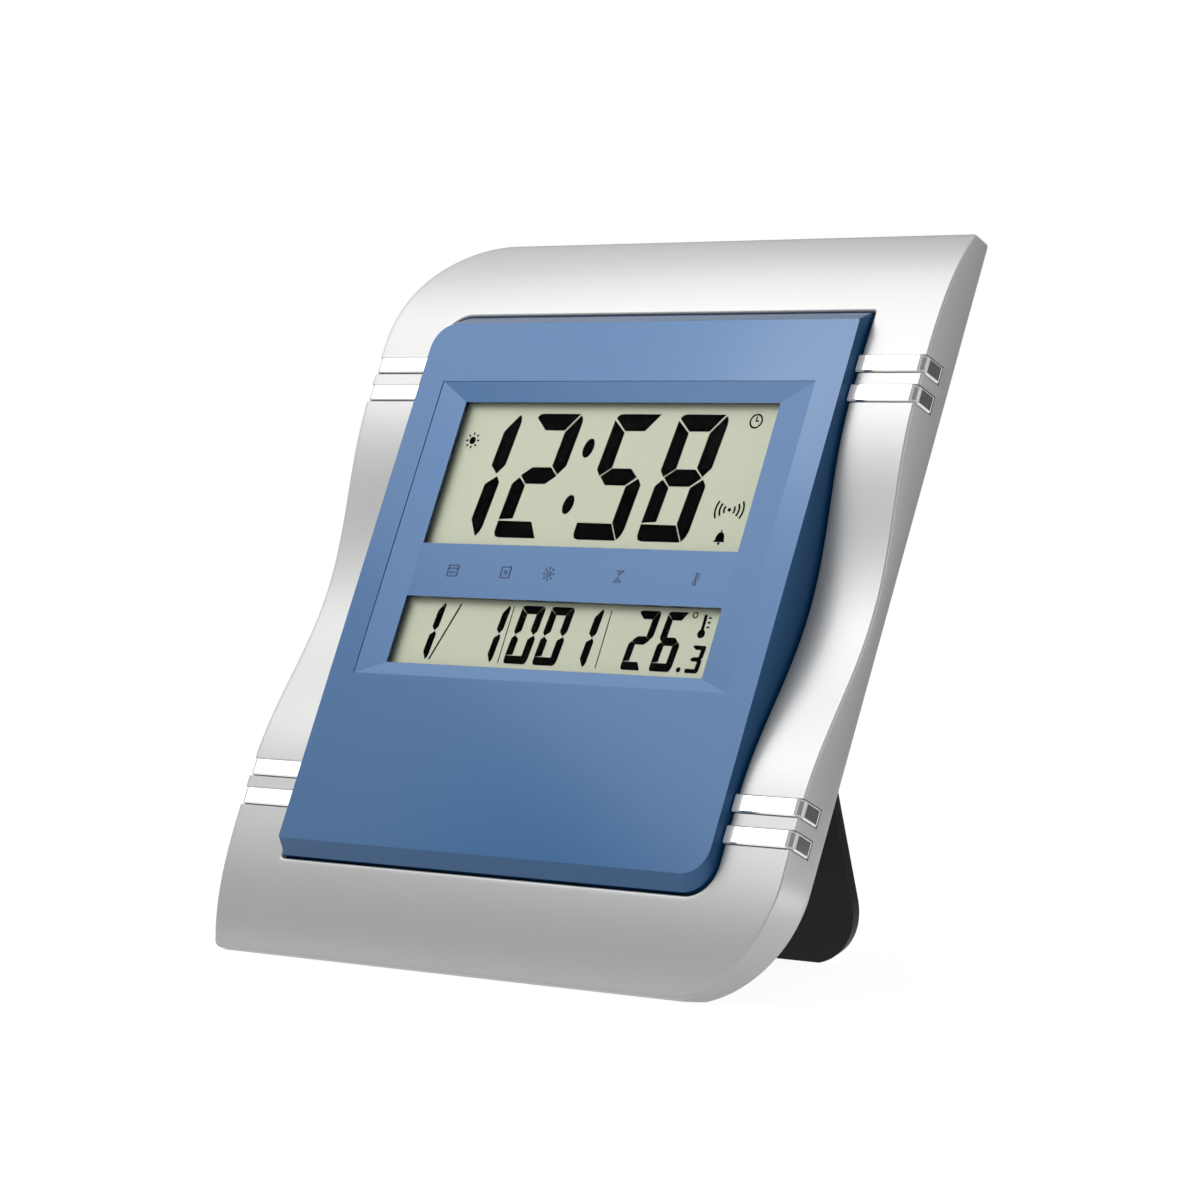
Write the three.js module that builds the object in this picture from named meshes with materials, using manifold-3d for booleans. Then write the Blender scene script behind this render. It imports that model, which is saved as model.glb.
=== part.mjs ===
// Digital desk clock: a silver frame with a rolling front, a blue display panel with two windows,
// bright trim strips, and a back with a folding stand, battery bay and push buttons.
// Sizes are in millimetres and angles in degrees. The clock is built flat: X right as seen from
// the front, Y up the face, Z out of the face, with Z = 0 at the frame's rear rim.
// The whole group is then leaned back onto its bottom edge and its stand.

import * as THREE from 'three';
import { mergeVertices } from 'three/addons/utils/BufferGeometryUtils.js';
import Module from 'manifold-3d';

const wasm = await Module();
wasm.setup();

// Stance
const LEAN = 25;
const STAND_OPEN = 42;
const STANDING_FACET = 3;

// Clearances and broken edges
const FIT = 0.3;
const SLIDE_FIT = 0.4;
const SCREW_FIT = 0.35;
const BROKEN_EDGE = 0.5;

// Frame
const FRAME_BORDER_X = 21.7;
const FRAME_BORDER_Y = 26;
const FRAME_CORNER = 33;
const FRAME_CORNER_SMALL = 1.5;
const FRAME_CREST = 13.2;
const FRAME_TROUGH = 5.6;
const FRAME_EDGE = 5.9;
const CREST_AT = 58;
const EDGE_FALL = 3.6;
const FRAME_WALL = 2;
const ROLL_STEPS = 48;

// Panel
const PANEL_ABOVE_WINDOW = 28.3;
const PANEL_CORNER = 9.3;
const FACE_CORNER = 7.8;
const PANEL_CORNER_SMALL = 0.6;
const OPENING_CORNER = 9.3;
const PANEL_TOP = 17;
const PANEL_GAP = 0.7;
const BEVEL_DEPTH = 4.2;
const BEVEL_RUN = 3.8;
const SIDE_DRAFT = 0.1;
const PANEL_WALL = 2;
const SKIRT_CLEARANCE = 1;
const LUG_Y = 45;
const LUG_WIDTH = 9;
const LUG_REACH = 8.5;
const LUG_THICKNESS = 1.6;

// Recess and windows
const RECESS_BESIDE = 10.4;
const RECESS_ABOVE = 6.1;
const RECESS_BELOW = 3.9;
const RECESS_STEP = 0.2;
const RECESS_DEPTH = 0.9;
const WINDOW_WIDTH = 114;
const UPPER_WINDOW_HEIGHT = 44.2;
const WINDOW_BAR = 16.3;
const LOWER_WINDOW_HEIGHT = 20.5;
const WINDOW_SKIN = 1.3;
const WINDOW_RIM = 0.1;

// Trim strips
const STRIP_WIDTH = 5;
const STRIP_PITCH = 8.75;
const STRIP_MIDDLE = 63.4;
const STRIP_RISE = 0.7;
const STRIP_THICKNESS = 1;
const STRIP_PROUD = 0.5;
const STRIP_SIDE_PROUD = 0.2;
const STRIP_CHAMFER = 1.7;
const STRIP_DROP = 8.5;
const STRIP_OVERHANG = 0.3;

// Display stack
const LENS_THICKNESS = 0.6;
const FILM_THICKNESS = 0.3;
const GLASS_THICKNESS = 2.2;
const GLASS_MARGIN = 4;
const CONNECTOR_HEIGHT = 2.4;
const CONNECTOR_WIDTH = 2.4;
const CONNECTOR_INSET = 2.2;
const CONNECTOR_END_MARGIN = 6;
const HOLDER_WALL = 1.8;
const LEDGE_WIDTH = 3.5;

// Circuit board
const BOARD_THICKNESS = 1.6;
const BOARD_MARGIN_Y = 0.5;
const BOARD_CLEARANCE = 4.6;
const BOARD_POST_RADIUS = 2.6;
const BOARD_POST_GAP = 0.7;
const BOARD_POST_EDGE = 3.5;
const BOARD_POST_INSET = 5.5;
const CHIP_RADIUS = 7;
const CHIP_HEIGHT = 1.8;
const CHIP_AT = [12, 24];
const CRYSTAL_RADIUS = 1.1;
const CRYSTAL_LENGTH = 6.2;
const CRYSTAL_AT = [34, 24];
const CAPACITOR_RADIUS = 2.3;
const CAPACITOR_LENGTH = 7.5;
const CAPACITOR_AT = [-14, 24];
const SENSOR_RADIUS = 1.6;
const SENSOR_LEG = 0.35;
const SENSOR_LEG_SPACING = 1.6;
const SENSOR_REACH = 9;

// Rear cover
const PAN_SIDE_INSET = 19;
const PAN_BOTTOM_INSET = 6;
const PAN_CORNER = 12;
const PAN_DRAFT = 2.5;
const PAN_WALL = 2;
const POCKET_FLOOR_WALL = 1.8;

// Stand
const STAND_MARGIN = 15;
const STAND_THICKNESS = 3;
const STAND_CORNER = 20;
const STAND_SINK = 0.4;
const STAND_TRIM = 0.5;
const HINGE_Y = 5;
const HINGE_DEPTH = 0.7;
const BARREL_RADIUS = 2;
const PIVOT_RADIUS = 1.3;
const PIVOT_LENGTH = 1.9;
const HEEL = 4;

// Battery bay
const CELL_RADIUS = 7.25;
const CELL_LENGTH = 50.5;
const CELL_NUB_RADIUS = 2.75;
const CELL_NUB_LENGTH = 1.3;
const CELL_SPACING = 0.8;
const CONTACT_THICKNESS = 0.5;
const CONTACT_SIZE = 9;
const CONTACT_TAIL_WIDTH = 2;
const CONTACT_TAIL_LENGTH = 2.5;
const SPRING_LENGTH = 5;
const SPRING_RADIUS = 3.4;
const SPRING_WIRE = 0.7;
const SPRING_TURNS = 3;
const BAY_GAP = 11.5;
const BAY_WALL = 1.4;
const BAY_CLEARANCE = 1.4;
const DOOR_MARGIN_X = 5;
const DOOR_MARGIN_Y = 3.6;
const DOOR_THICKNESS = 1.6;
const DOOR_TRAVEL = 8;
const DOOR_TAB_WIDTH = 10;
const DOOR_TAB_LENGTH = 3;
const DOOR_TAB_THICKNESS = 0.6;
const DOOR_TAB_X = 20;
const DOOR_GRIP_WIDTH = 18;
const DOOR_GRIP_HEIGHT = 1.2;
const DOOR_GRIP_DEPTH = 0.5;
const DOOR_GRIPS = 3;
const SEAT_WALL = 1.6;
const SEAT_MARGIN = 2;

// Buttons
const BUTTON_NAMES = ['mode', 'set', 'up', 'down', 'alarm'];
const BUTTON_WIDTH = 11;
const BUTTON_HEIGHT = 6.5;
const BUTTON_CORNER = 1.5;
const BUTTON_PITCH = 18;
const BUTTON_RAISE = 29;
const BUTTON_SINK = 0.3;
const BUTTON_TRAVEL = 1;
const BUTTON_FLANGE = 1.5;
const BUTTON_FLANGE_THICKNESS = 1;
const BUTTON_STEM_RADIUS = 2;
const CHANNEL_DEPTH = 2;
const CHANNEL_WALL = 1.8;
const CHANNEL_MARGIN = 4;
const KEY_MAT_THICKNESS = 1;
const KEY_DOME_HEIGHT = 1.7;
const KEY_DOME_RADIUS = 3.4;
const KEY_DOME_TOP_RADIUS = 1.8;

// Buzzer, sound holes and vents
const BUZZER_RADIUS = 13.5;
const BUZZER_RIM = 0.4;
const BUZZER_THICKNESS = 0.9;
const BUZZER_CERAMIC_RADIUS = 10;
const SOUND_HOLE_RADIUS = 1.2;
const SOUND_HOLE_CIRCLE = 6;
const SOUND_HOLES = 6;
const SOUND_X = 44;
const BUZZER_GAP = 1.25;
const VENT_WIDTH = 22;
const VENT_HEIGHT = 1.6;
const VENT_PITCH = 4;
const VENTS = 5;
const VENT_X = 44;

// Screws and leads
const SCREW_RADIUS = 1.25;
const SCREW_HEAD_RADIUS = 2.7;
const SCREW_HEAD_HEIGHT = 1.3;
const SCREW_HEAD_RIM = 0.65;
const SCREW_CROWN_RADIUS = 2;
const SCREW_TIP = 0.5;
const BOSS_RADIUS = 3.4;
const POST_ROOF = 1.3;
const SIDE_SCREW_INSET = 10.5;
const SIDE_SCREW_Y = 62;
const TOP_SCREW_X = 48;
const TOP_SCREW_INSET = 13.5;
const LEAD_RADIUS = 0.65;
const LEAD_BEND = 6;
const LEAD_DROP = 4;
const LEAD_PAD_INSET = 7.6;
const BLACK_LEAD_STUB = 3;
const BLACK_LEAD_SWING = 9;
const RED_LEAD_STUB = 5;
const RED_LEAD_SWING = 14;
const BUZZER_LEAD_OFFSET = 4;
const BUZZER_LEAD_START = 2;
const BUZZER_PAD_INSET = 6.5;

// Steps of round work
const ARC_STEPS = 6;
const ROUND_SIDES = 12;
const WIRE_SIDES = 6;
const LEAD_STEPS = 18;
const SPRING_STEPS = 8;
const OVERCUT = 1;
const FAR = 400;

// Sizes worked out from the ones above
const lean = THREE.MathUtils.degToRad(LEAN);
const opening = THREE.MathUtils.degToRad(STAND_OPEN);
const glassHalfWidth = WINDOW_WIDTH / 2 + GLASS_MARGIN;
const windowsHeight = UPPER_WINDOW_HEIGHT + WINDOW_BAR + LOWER_WINDOW_HEIGHT;
const glassHalfHeight = windowsHeight / 2 + GLASS_MARGIN;
const holderHalfWidth = glassHalfWidth + SLIDE_FIT + HOLDER_WALL;
const holderHalfHeight = glassHalfHeight + SLIDE_FIT + HOLDER_WALL;
const boardPostX = holderHalfWidth + BOARD_POST_GAP + BOARD_POST_RADIUS;
const boardPostY = glassHalfHeight - BOARD_POST_INSET;
const boardHalfWidth = boardPostX + BOARD_POST_EDGE;
const boardHalfHeight = glassHalfHeight + BOARD_MARGIN_Y;
const panelHalfWidth = boardHalfWidth + BOARD_CLEARANCE + PANEL_WALL;
const bayHalfLength = (CELL_LENGTH + SPRING_LENGTH + 2 * CONTACT_THICKNESS + 4 * FIT) / 2;
const cellOffset = CELL_RADIUS + CELL_SPACING / 2;
const bayHalfHeight = cellOffset + CELL_RADIUS + SLIDE_FIT;
const panelAboveMiddle = PANEL_ABOVE_WINDOW + windowsHeight / 2;
const bayBelowMiddle = holderHalfHeight + BAY_GAP + BAY_WALL + bayHalfHeight;
const bayToEdge = bayHalfHeight + BAY_WALL + BAY_CLEARANCE + PANEL_WALL + BEVEL_RUN;
const panelHalfHeight = (panelAboveMiddle + bayBelowMiddle + bayToEdge) / 2;
const windowMiddle = panelHalfHeight - panelAboveMiddle;
const bayY = windowMiddle - bayBelowMiddle;
const upperWindowTop = windowMiddle + windowsHeight / 2;
const upperWindowBottom = upperWindowTop - UPPER_WINDOW_HEIGHT;
const lowerWindowTop = upperWindowBottom - WINDOW_BAR;
const lowerWindowBottom = lowerWindowTop - LOWER_WINDOW_HEIGHT;
const openingHalfWidth = panelHalfWidth + PANEL_GAP;
const openingHalfHeight = panelHalfHeight + PANEL_GAP;
const halfWidth = openingHalfWidth + FRAME_BORDER_X;
const halfHeight = openingHalfHeight + FRAME_BORDER_Y;
const panelUnderside = PANEL_TOP - RECESS_DEPTH - WINDOW_SKIN;
const lensTop = panelUnderside - FIT;
const filmTop = lensTop - LENS_THICKNESS - FIT;
const glassTop = filmTop - FILM_THICKNESS - FIT;
const glassBottom = glassTop - GLASS_THICKNESS;
const boardTop = glassBottom - FIT - CONNECTOR_HEIGHT - FIT;
const boardBottom = boardTop - BOARD_THICKNESS;
const bayCeiling = panelUnderside - FIT - BAY_WALL;
const cellZ = bayCeiling - FIT - CELL_RADIUS;
const doorInner = cellZ - CELL_RADIUS - FIT;
const pocketFloor = doorInner - DOOR_THICKNESS;
const seatFloor = doorInner + FIT;
const doorHalfWidth = bayHalfLength + DOOR_MARGIN_X;
const doorTop = bayY + bayHalfHeight + DOOR_MARGIN_Y;
const doorBottom = bayY - bayHalfHeight - DOOR_MARGIN_Y;
const standTop = pocketFloor - FIT;
const rearPlane = standTop - STAND_THICKNESS - STAND_SINK;
const hingeZ = standTop - HINGE_DEPTH;
const panHalfWidth = halfWidth - PAN_SIDE_INSET;
const standHalfWidth = panHalfWidth - STAND_MARGIN;
const pocketHalfWidth = standHalfWidth + SLIDE_FIT;
const pocketWall = PIVOT_LENGTH + FIT;
const heelSwing = Math.hypot(HEEL, STAND_THICKNESS - HINGE_DEPTH);
const pocketTop = HINGE_Y + heelSwing + SLIDE_FIT;
const troughFloor = hingeZ + HEEL * Math.sin(opening) + HINGE_DEPTH * Math.cos(opening) + FIT;
const troughBottom = HINGE_Y - BARREL_RADIUS - HEEL;
const groundDepth = halfHeight * Math.cos(lean) - STANDING_FACET * Math.sin(lean) * Math.cos(lean);
const hingeHeight = groundDepth + HINGE_Y * Math.cos(lean) + hingeZ * Math.sin(lean);
const legTilt = opening - lean;
const footSlant = HINGE_DEPTH * Math.tan(legTilt);
const legLength = hingeHeight / Math.cos(legTilt) - footSlant + STAND_TRIM;
const buttonY = windowMiddle + BUTTON_RAISE;
const channelFloor = rearPlane + CHANNEL_DEPTH;
const channelHalfY = BUTTON_HEIGHT / 2 + CHANNEL_MARGIN;
const buzzerY = buttonY + channelHalfY + PAN_WALL + BUZZER_GAP + BUZZER_RADIUS;
const buzzerAt = [-SOUND_X, buzzerY];
const ventAt = [VENT_X, buzzerY];
const panTop = buzzerY + BUZZER_RADIUS + PAN_WALL + PAN_DRAFT;
const panBottom = -halfHeight + PAN_BOTTOM_INSET;
const flangeBottom = SCREW_HEAD_HEIGHT + FIT;
const flangeTop = FRAME_TROUGH - FRAME_WALL - FIT;
const bossBottom = flangeTop + FIT;
const skirtBottom = flangeTop + SKIRT_CLEARANCE;
const lugBottom = flangeTop + SCREW_HEAD_HEIGHT + 2 * FIT;

// Height of the frame's front above its rear rim, a roll above and below a middle trough.
function frontHeight(y) {
  const distance = Math.abs(y);
  if (distance <= CREST_AT) {
    const rise = (1 - Math.cos((Math.PI * distance) / CREST_AT)) / 2;
    return FRAME_TROUGH + (FRAME_CREST - FRAME_TROUGH) * rise;
  }
  const share = (distance - CREST_AT) / (halfHeight - CREST_AT);
  return FRAME_CREST - (FRAME_CREST - FRAME_EDGE) * share ** EDGE_FALL;
}

// A closed geometry as a solid that can be joined and cut.
function solid(geometry) {
  const bare = new THREE.BufferGeometry();
  bare.setAttribute('position', geometry.attributes.position.clone());
  if (geometry.index) {
    bare.setIndex(geometry.index.clone());
  }
  const merged = mergeVertices(bare);
  return new wasm.Manifold(
    new wasm.Mesh({
      numProp: 3,
      vertProperties: new Float32Array(merged.attributes.position.array),
      triVerts: new Uint32Array(merged.index.array),
    }),
  );
}

// The surface of a solid as a geometry that a mesh can show.
function surface(body) {
  const mesh = body.getMesh();
  const geometry = new THREE.BufferGeometry();
  geometry.setAttribute('position', new THREE.BufferAttribute(mesh.vertProperties, 3));
  geometry.setIndex(new THREE.BufferAttribute(mesh.triVerts, 1));
  geometry.computeVertexNormals();
  return geometry;
}

function joined(bodies) {
  return bodies.reduce((whole, body) => whole.add(body));
}

function cutBy(body, cutters) {
  return cutters.reduce((rest, cutter) => rest.subtract(cutter), body);
}

// Outline about a middle height, with its upper left and lower right corners larger.
function outline(halfX, halfY, large, small, middleY = 0) {
  const shape = new THREE.Shape();
  const turn = Math.PI / 2;
  shape.absarc(-halfX + small, middleY - halfY + small, small, 2 * turn, 3 * turn);
  shape.absarc(halfX - large, middleY - halfY + large, large, 3 * turn, 4 * turn);
  shape.absarc(halfX - small, middleY + halfY - small, small, 0, turn);
  shape.absarc(-halfX + large, middleY + halfY - large, large, turn, 2 * turn);
  return shape;
}

// Radius of a rounded corner drawn in by a wall, never less than a broken edge.
function tighter(radius, inset) {
  return Math.max(radius - inset, BROKEN_EDGE);
}

function rectangle(x0, x1, y0, y1) {
  const corners = [[x0, y0], [x1, y0], [x1, y1], [x0, y1]];
  return new THREE.Shape(corners.map(([x, y]) => new THREE.Vector2(x, y)));
}

function box(x0, x1, y0, y1, z0, z1) {
  const geometry = new THREE.BoxGeometry(x1 - x0, y1 - y0, z1 - z0);
  geometry.translate((x0 + x1) / 2, (y0 + y1) / 2, (z0 + z1) / 2);
  return solid(geometry);
}

// A straight-sided block of one outline between two heights.
function prism(shape, z0, z1, arcSteps = ARC_STEPS) {
  const settings = { depth: z1 - z0, bevelEnabled: false, curveSegments: arcSteps };
  const geometry = new THREE.ExtrudeGeometry(shape, settings);
  geometry.translate(0, 0, z0);
  return solid(geometry);
}

// A block that runs through outlines of like points, each with its height, lowest first.
function loft(levels) {
  const rings = levels.map(([shape]) => shape.getPoints(ARC_STEPS));
  const count = rings[0].length;
  const positions = [];
  const index = [];
  rings.forEach((ring, level) => {
    ring.forEach((point) => positions.push(point.x, point.y, levels[level][1]));
  });
  for (let level = 0; level + 1 < rings.length; level += 1) {
    for (let i = 0; i < count; i += 1) {
      const a = level * count + i;
      const b = level * count + ((i + 1) % count);
      index.push(a, b, b + count, a, b + count, a + count);
    }
  }
  const last = (rings.length - 1) * count;
  for (const [a, b, c] of THREE.ShapeUtils.triangulateShape(rings[0], [])) {
    index.push(a, c, b);
  }
  for (const [a, b, c] of THREE.ShapeUtils.triangulateShape(rings.at(-1), [])) {
    index.push(last + a, last + b, last + c);
  }
  const geometry = new THREE.BufferGeometry();
  geometry.setAttribute('position', new THREE.Float32BufferAttribute(positions, 3));
  geometry.setIndex(index);
  return solid(geometry);
}

// A block with its section drawn in Y and Z, run along X between two places.
function alongX(points, x0, x1) {
  const shape = new THREE.Shape(points.map(([y, z]) => new THREE.Vector2(y, z)));
  const geometry = new THREE.ExtrudeGeometry(shape, { depth: x1 - x0, bevelEnabled: false });
  const toX = new THREE.Matrix4().makeBasis(
    new THREE.Vector3(0, 1, 0),
    new THREE.Vector3(0, 0, 1),
    new THREE.Vector3(1, 0, 0),
  );
  geometry.applyMatrix4(toX);
  geometry.translate(x0, 0, 0);
  return solid(geometry);
}

function rodX(y, z, radius, x0, x1) {
  const geometry = new THREE.CylinderGeometry(radius, radius, x1 - x0, ROUND_SIDES);
  geometry.rotateZ(Math.PI / 2);
  geometry.translate((x0 + x1) / 2, y, z);
  return solid(geometry);
}

function rodZ(x, y, radius, z0, z1) {
  const geometry = new THREE.CylinderGeometry(radius, radius, z1 - z0, ROUND_SIDES);
  geometry.rotateX(Math.PI / 2);
  geometry.translate(x, y, (z0 + z1) / 2);
  return solid(geometry);
}

// A turned piece about an axis along Z, its profile given as radius and height.
function turned(profile, x, y, z) {
  const points = profile.map(([radius, height]) => new THREE.Vector2(radius, height));
  const geometry = new THREE.LatheGeometry(points, ROUND_SIDES);
  geometry.rotateX(Math.PI / 2);
  geometry.translate(x, y, z);
  return solid(geometry);
}

// A round wire along a curve.
function wire(curve, radius, steps) {
  const section = new THREE.Shape();
  for (let i = 0; i < WIRE_SIDES; i += 1) {
    const angle = (2 * Math.PI * i) / WIRE_SIDES;
    const x = radius * Math.cos(angle);
    const y = radius * Math.sin(angle);
    if (i === 0) {
      section.moveTo(x, y);
    } else {
      section.lineTo(x, y);
    }
  }
  section.closePath();
  return solid(new THREE.ExtrudeGeometry(section, { steps, extrudePath: curve, bevelEnabled: false }));
}

// Everything below the table when the clock stands on it, in the clock's flat frame.
function belowTable() {
  const geometry = new THREE.BoxGeometry(FAR, FAR, FAR);
  geometry.translate(0, -groundDepth - FAR / 2, 0);
  geometry.rotateX(lean);
  return solid(geometry);
}

const clock = new THREE.Group();

function material(colour, roughness, metalness) {
  return new THREE.MeshStandardMaterial({ color: colour, roughness, metalness });
}

const SILVER = material(0xc4c5c4, 0.35, 0.7);
const BLUE = material(0x6485b5, 0.35, 0.1);
const CHROME = material(0xe8e8ea, 0.08, 1);
const BLACK = material(0x17181a, 0.55, 0);
const CLEAR = material(0xe9eee6, 0.05, 0);
const DISPLAY = material(0xc9ceb5, 0.3, 0);
const FILM = material(0xd2d6c2, 0.4, 0);
const WHITE = material(0xe6e6e0, 0.6, 0);
const RUBBER = material(0x3a3a3c, 0.85, 0);
const BOARD = material(0x2f6b3f, 0.5, 0);
const RESIN = material(0x0c0c0d, 0.35, 0);
const STEEL = material(0xb9bbbd, 0.3, 1);
const BRASS = material(0xc9a45a, 0.35, 1);
const GREY = material(0x8c9097, 0.5, 0);
const CELL_WRAP = material(0x4d6f62, 0.4, 0.1);
const RED = material(0xb02a2a, 0.5, 0);

function add(name, body, finish, parent = clock) {
  const mesh = new THREE.Mesh(surface(body), finish);
  mesh.name = name;
  parent.add(mesh);
}

// Places of the six screws that hold the rear cover, and of the four that hold the panel.
const coverScrewPlaces = [
  ['left_upper', -halfWidth + SIDE_SCREW_INSET, SIDE_SCREW_Y],
  ['right_upper', halfWidth - SIDE_SCREW_INSET, SIDE_SCREW_Y],
  ['left_lower', -halfWidth + SIDE_SCREW_INSET, -SIDE_SCREW_Y],
  ['right_lower', halfWidth - SIDE_SCREW_INSET, -SIDE_SCREW_Y],
  ['top_left', -TOP_SCREW_X, halfHeight - TOP_SCREW_INSET],
  ['top_right', TOP_SCREW_X, halfHeight - TOP_SCREW_INSET],
];
const lugScrewX = openingHalfWidth + LUG_REACH / 2;
const panelScrewPlaces = [
  ['left_upper', -lugScrewX, LUG_Y],
  ['right_upper', lugScrewX, LUG_Y],
  ['left_lower', -lugScrewX, -LUG_Y],
  ['right_lower', lugScrewX, -LUG_Y],
];
const boardScrewPlaces = [
  ['left_upper', -boardPostX, windowMiddle + boardPostY],
  ['right_upper', boardPostX, windowMiddle + boardPostY],
  ['left_lower', -boardPostX, windowMiddle - boardPostY],
  ['right_lower', boardPostX, windowMiddle - boardPostY],
];
const holeRadius = SCREW_RADIUS + SCREW_FIT;

// A pan-head screw driven towards the front, its head seated a fit behind a face.
function screw(x, y, seat, tip) {
  const under = seat - FIT;
  const profile = [
    [0, under - SCREW_HEAD_HEIGHT],
    [SCREW_CROWN_RADIUS, under - SCREW_HEAD_HEIGHT],
    [SCREW_HEAD_RADIUS, under - SCREW_HEAD_RIM],
    [SCREW_HEAD_RADIUS, under],
    [SCREW_RADIUS, under],
    [SCREW_RADIUS, tip - SCREW_TIP],
    [SCREW_RADIUS - SCREW_TIP, tip],
    [0, tip],
  ];
  return turned(profile, x, y, 0);
}

// Front frame: a thin shell with a rolling front, an opening for the panel and screw bosses behind.
function rollSection(drop) {
  const points = [];
  for (let i = 0; i <= ROLL_STEPS; i += 1) {
    const y = halfHeight - (2 * halfHeight * i) / ROLL_STEPS;
    points.push([y, frontHeight(y) - drop]);
  }
  points.push([-halfHeight, -OVERCUT]);
  points.push([halfHeight, -OVERCUT]);
  return points;
}

const stripSide = halfWidth + STRIP_SIDE_PROUD;

// Section of a strip in X and Z, grown by a clearance on its inner side for the groove it lies in.
function stripSection(y, clearance, past) {
  const stripTop = frontHeight(y) + STRIP_PROUD;
  const inner = openingHalfWidth - STRIP_OVERHANG - past;
  const low = stripTop - STRIP_DROP - clearance;
  const depth = STRIP_THICKNESS + clearance;
  const corner = STRIP_CHAMFER + depth * (Math.SQRT2 - 1);
  return [
    [inner, stripTop + past],
    [inner, stripTop - depth],
    [stripSide - corner, stripTop - depth],
    [stripSide - depth, stripTop - corner],
    [stripSide - depth, low],
    [stripSide + past, low],
    ...(past > 0
      ? [[stripSide + past, stripTop + past]]
      : [[stripSide, stripTop - STRIP_CHAMFER], [stripSide - STRIP_CHAMFER, stripTop]]),
  ];
}

// The section above run along Y about a middle, on the right or turned over to the left.
function stripBody(section, y, width, left) {
  const shape = new THREE.Shape(section.map(([x, z]) => new THREE.Vector2(x, z)));
  const geometry = new THREE.ExtrudeGeometry(shape, { depth: width, bevelEnabled: false });
  geometry.rotateX(Math.PI / 2);
  geometry.translate(0, width / 2, 0);
  if (left) {
    geometry.translate(0, -y, 0);
    geometry.rotateZ(Math.PI);
  } else {
    geometry.translate(0, y, 0);
  }
  return solid(geometry);
}

const stripPlaces = [];
for (const [side, left] of [['left', true], ['right', false]]) {
  for (const [level, sign] of [['upper', 1], ['lower', -1]]) {
    for (const [place, step] of [['outer', 1], ['inner', -1]]) {
      const y = STRIP_RISE + sign * (STRIP_MIDDLE + (step * STRIP_PITCH) / 2);
      stripPlaces.push([`trim_strip_${side}_${level}_${place}`, y, left]);
    }
  }
}

function frontFrame() {
  const roll = alongX(rollSection(0), -halfWidth, halfWidth);
  const edge = outline(halfWidth, halfHeight, FRAME_CORNER, FRAME_CORNER_SMALL);
  const block = roll.intersect(prism(edge, 0, FAR));
  const hollowRoll = alongX(rollSection(FRAME_WALL), -halfWidth, halfWidth);
  const hollowEdge = outline(
    halfWidth - FRAME_WALL,
    halfHeight - FRAME_WALL,
    tighter(FRAME_CORNER, FRAME_WALL),
    tighter(FRAME_CORNER_SMALL, FRAME_WALL),
  );
  const hollow = hollowRoll.intersect(prism(hollowEdge, -OVERCUT, FAR));
  const window = outline(
    openingHalfWidth,
    openingHalfHeight,
    OPENING_CORNER,
    PANEL_CORNER_SMALL + PANEL_GAP,
  );
  const shell = block.subtract(hollow).subtract(prism(window, -OVERCUT, FAR));
  const bosses = [];
  const pilots = [];
  for (const [, x, y] of coverScrewPlaces) {
    bosses.push(rodZ(x, y, BOSS_RADIUS, bossBottom, FAR).intersect(block));
    pilots.push(rodZ(x, y, holeRadius, 0, frontHeight(y) - FRAME_WALL));
  }
  for (const [, x, y] of panelScrewPlaces) {
    const seat = lugBottom + LUG_THICKNESS + FIT;
    const boss = rodZ(x, y, BOSS_RADIUS, seat, FAR).intersect(block);
    bosses.push(boss.subtract(prism(window, -OVERCUT, FAR)));
    pilots.push(rodZ(x, y, holeRadius, 0, frontHeight(y) - FRAME_WALL));
  }
  const grooves = stripPlaces.map(([, y, left]) => {
    return stripBody(stripSection(y, FIT, OVERCUT), y, STRIP_WIDTH + 2 * FIT, left);
  });
  return cutBy(joined([shell, ...bosses]), [...pilots, ...grooves, belowTable()]);
}

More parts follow.
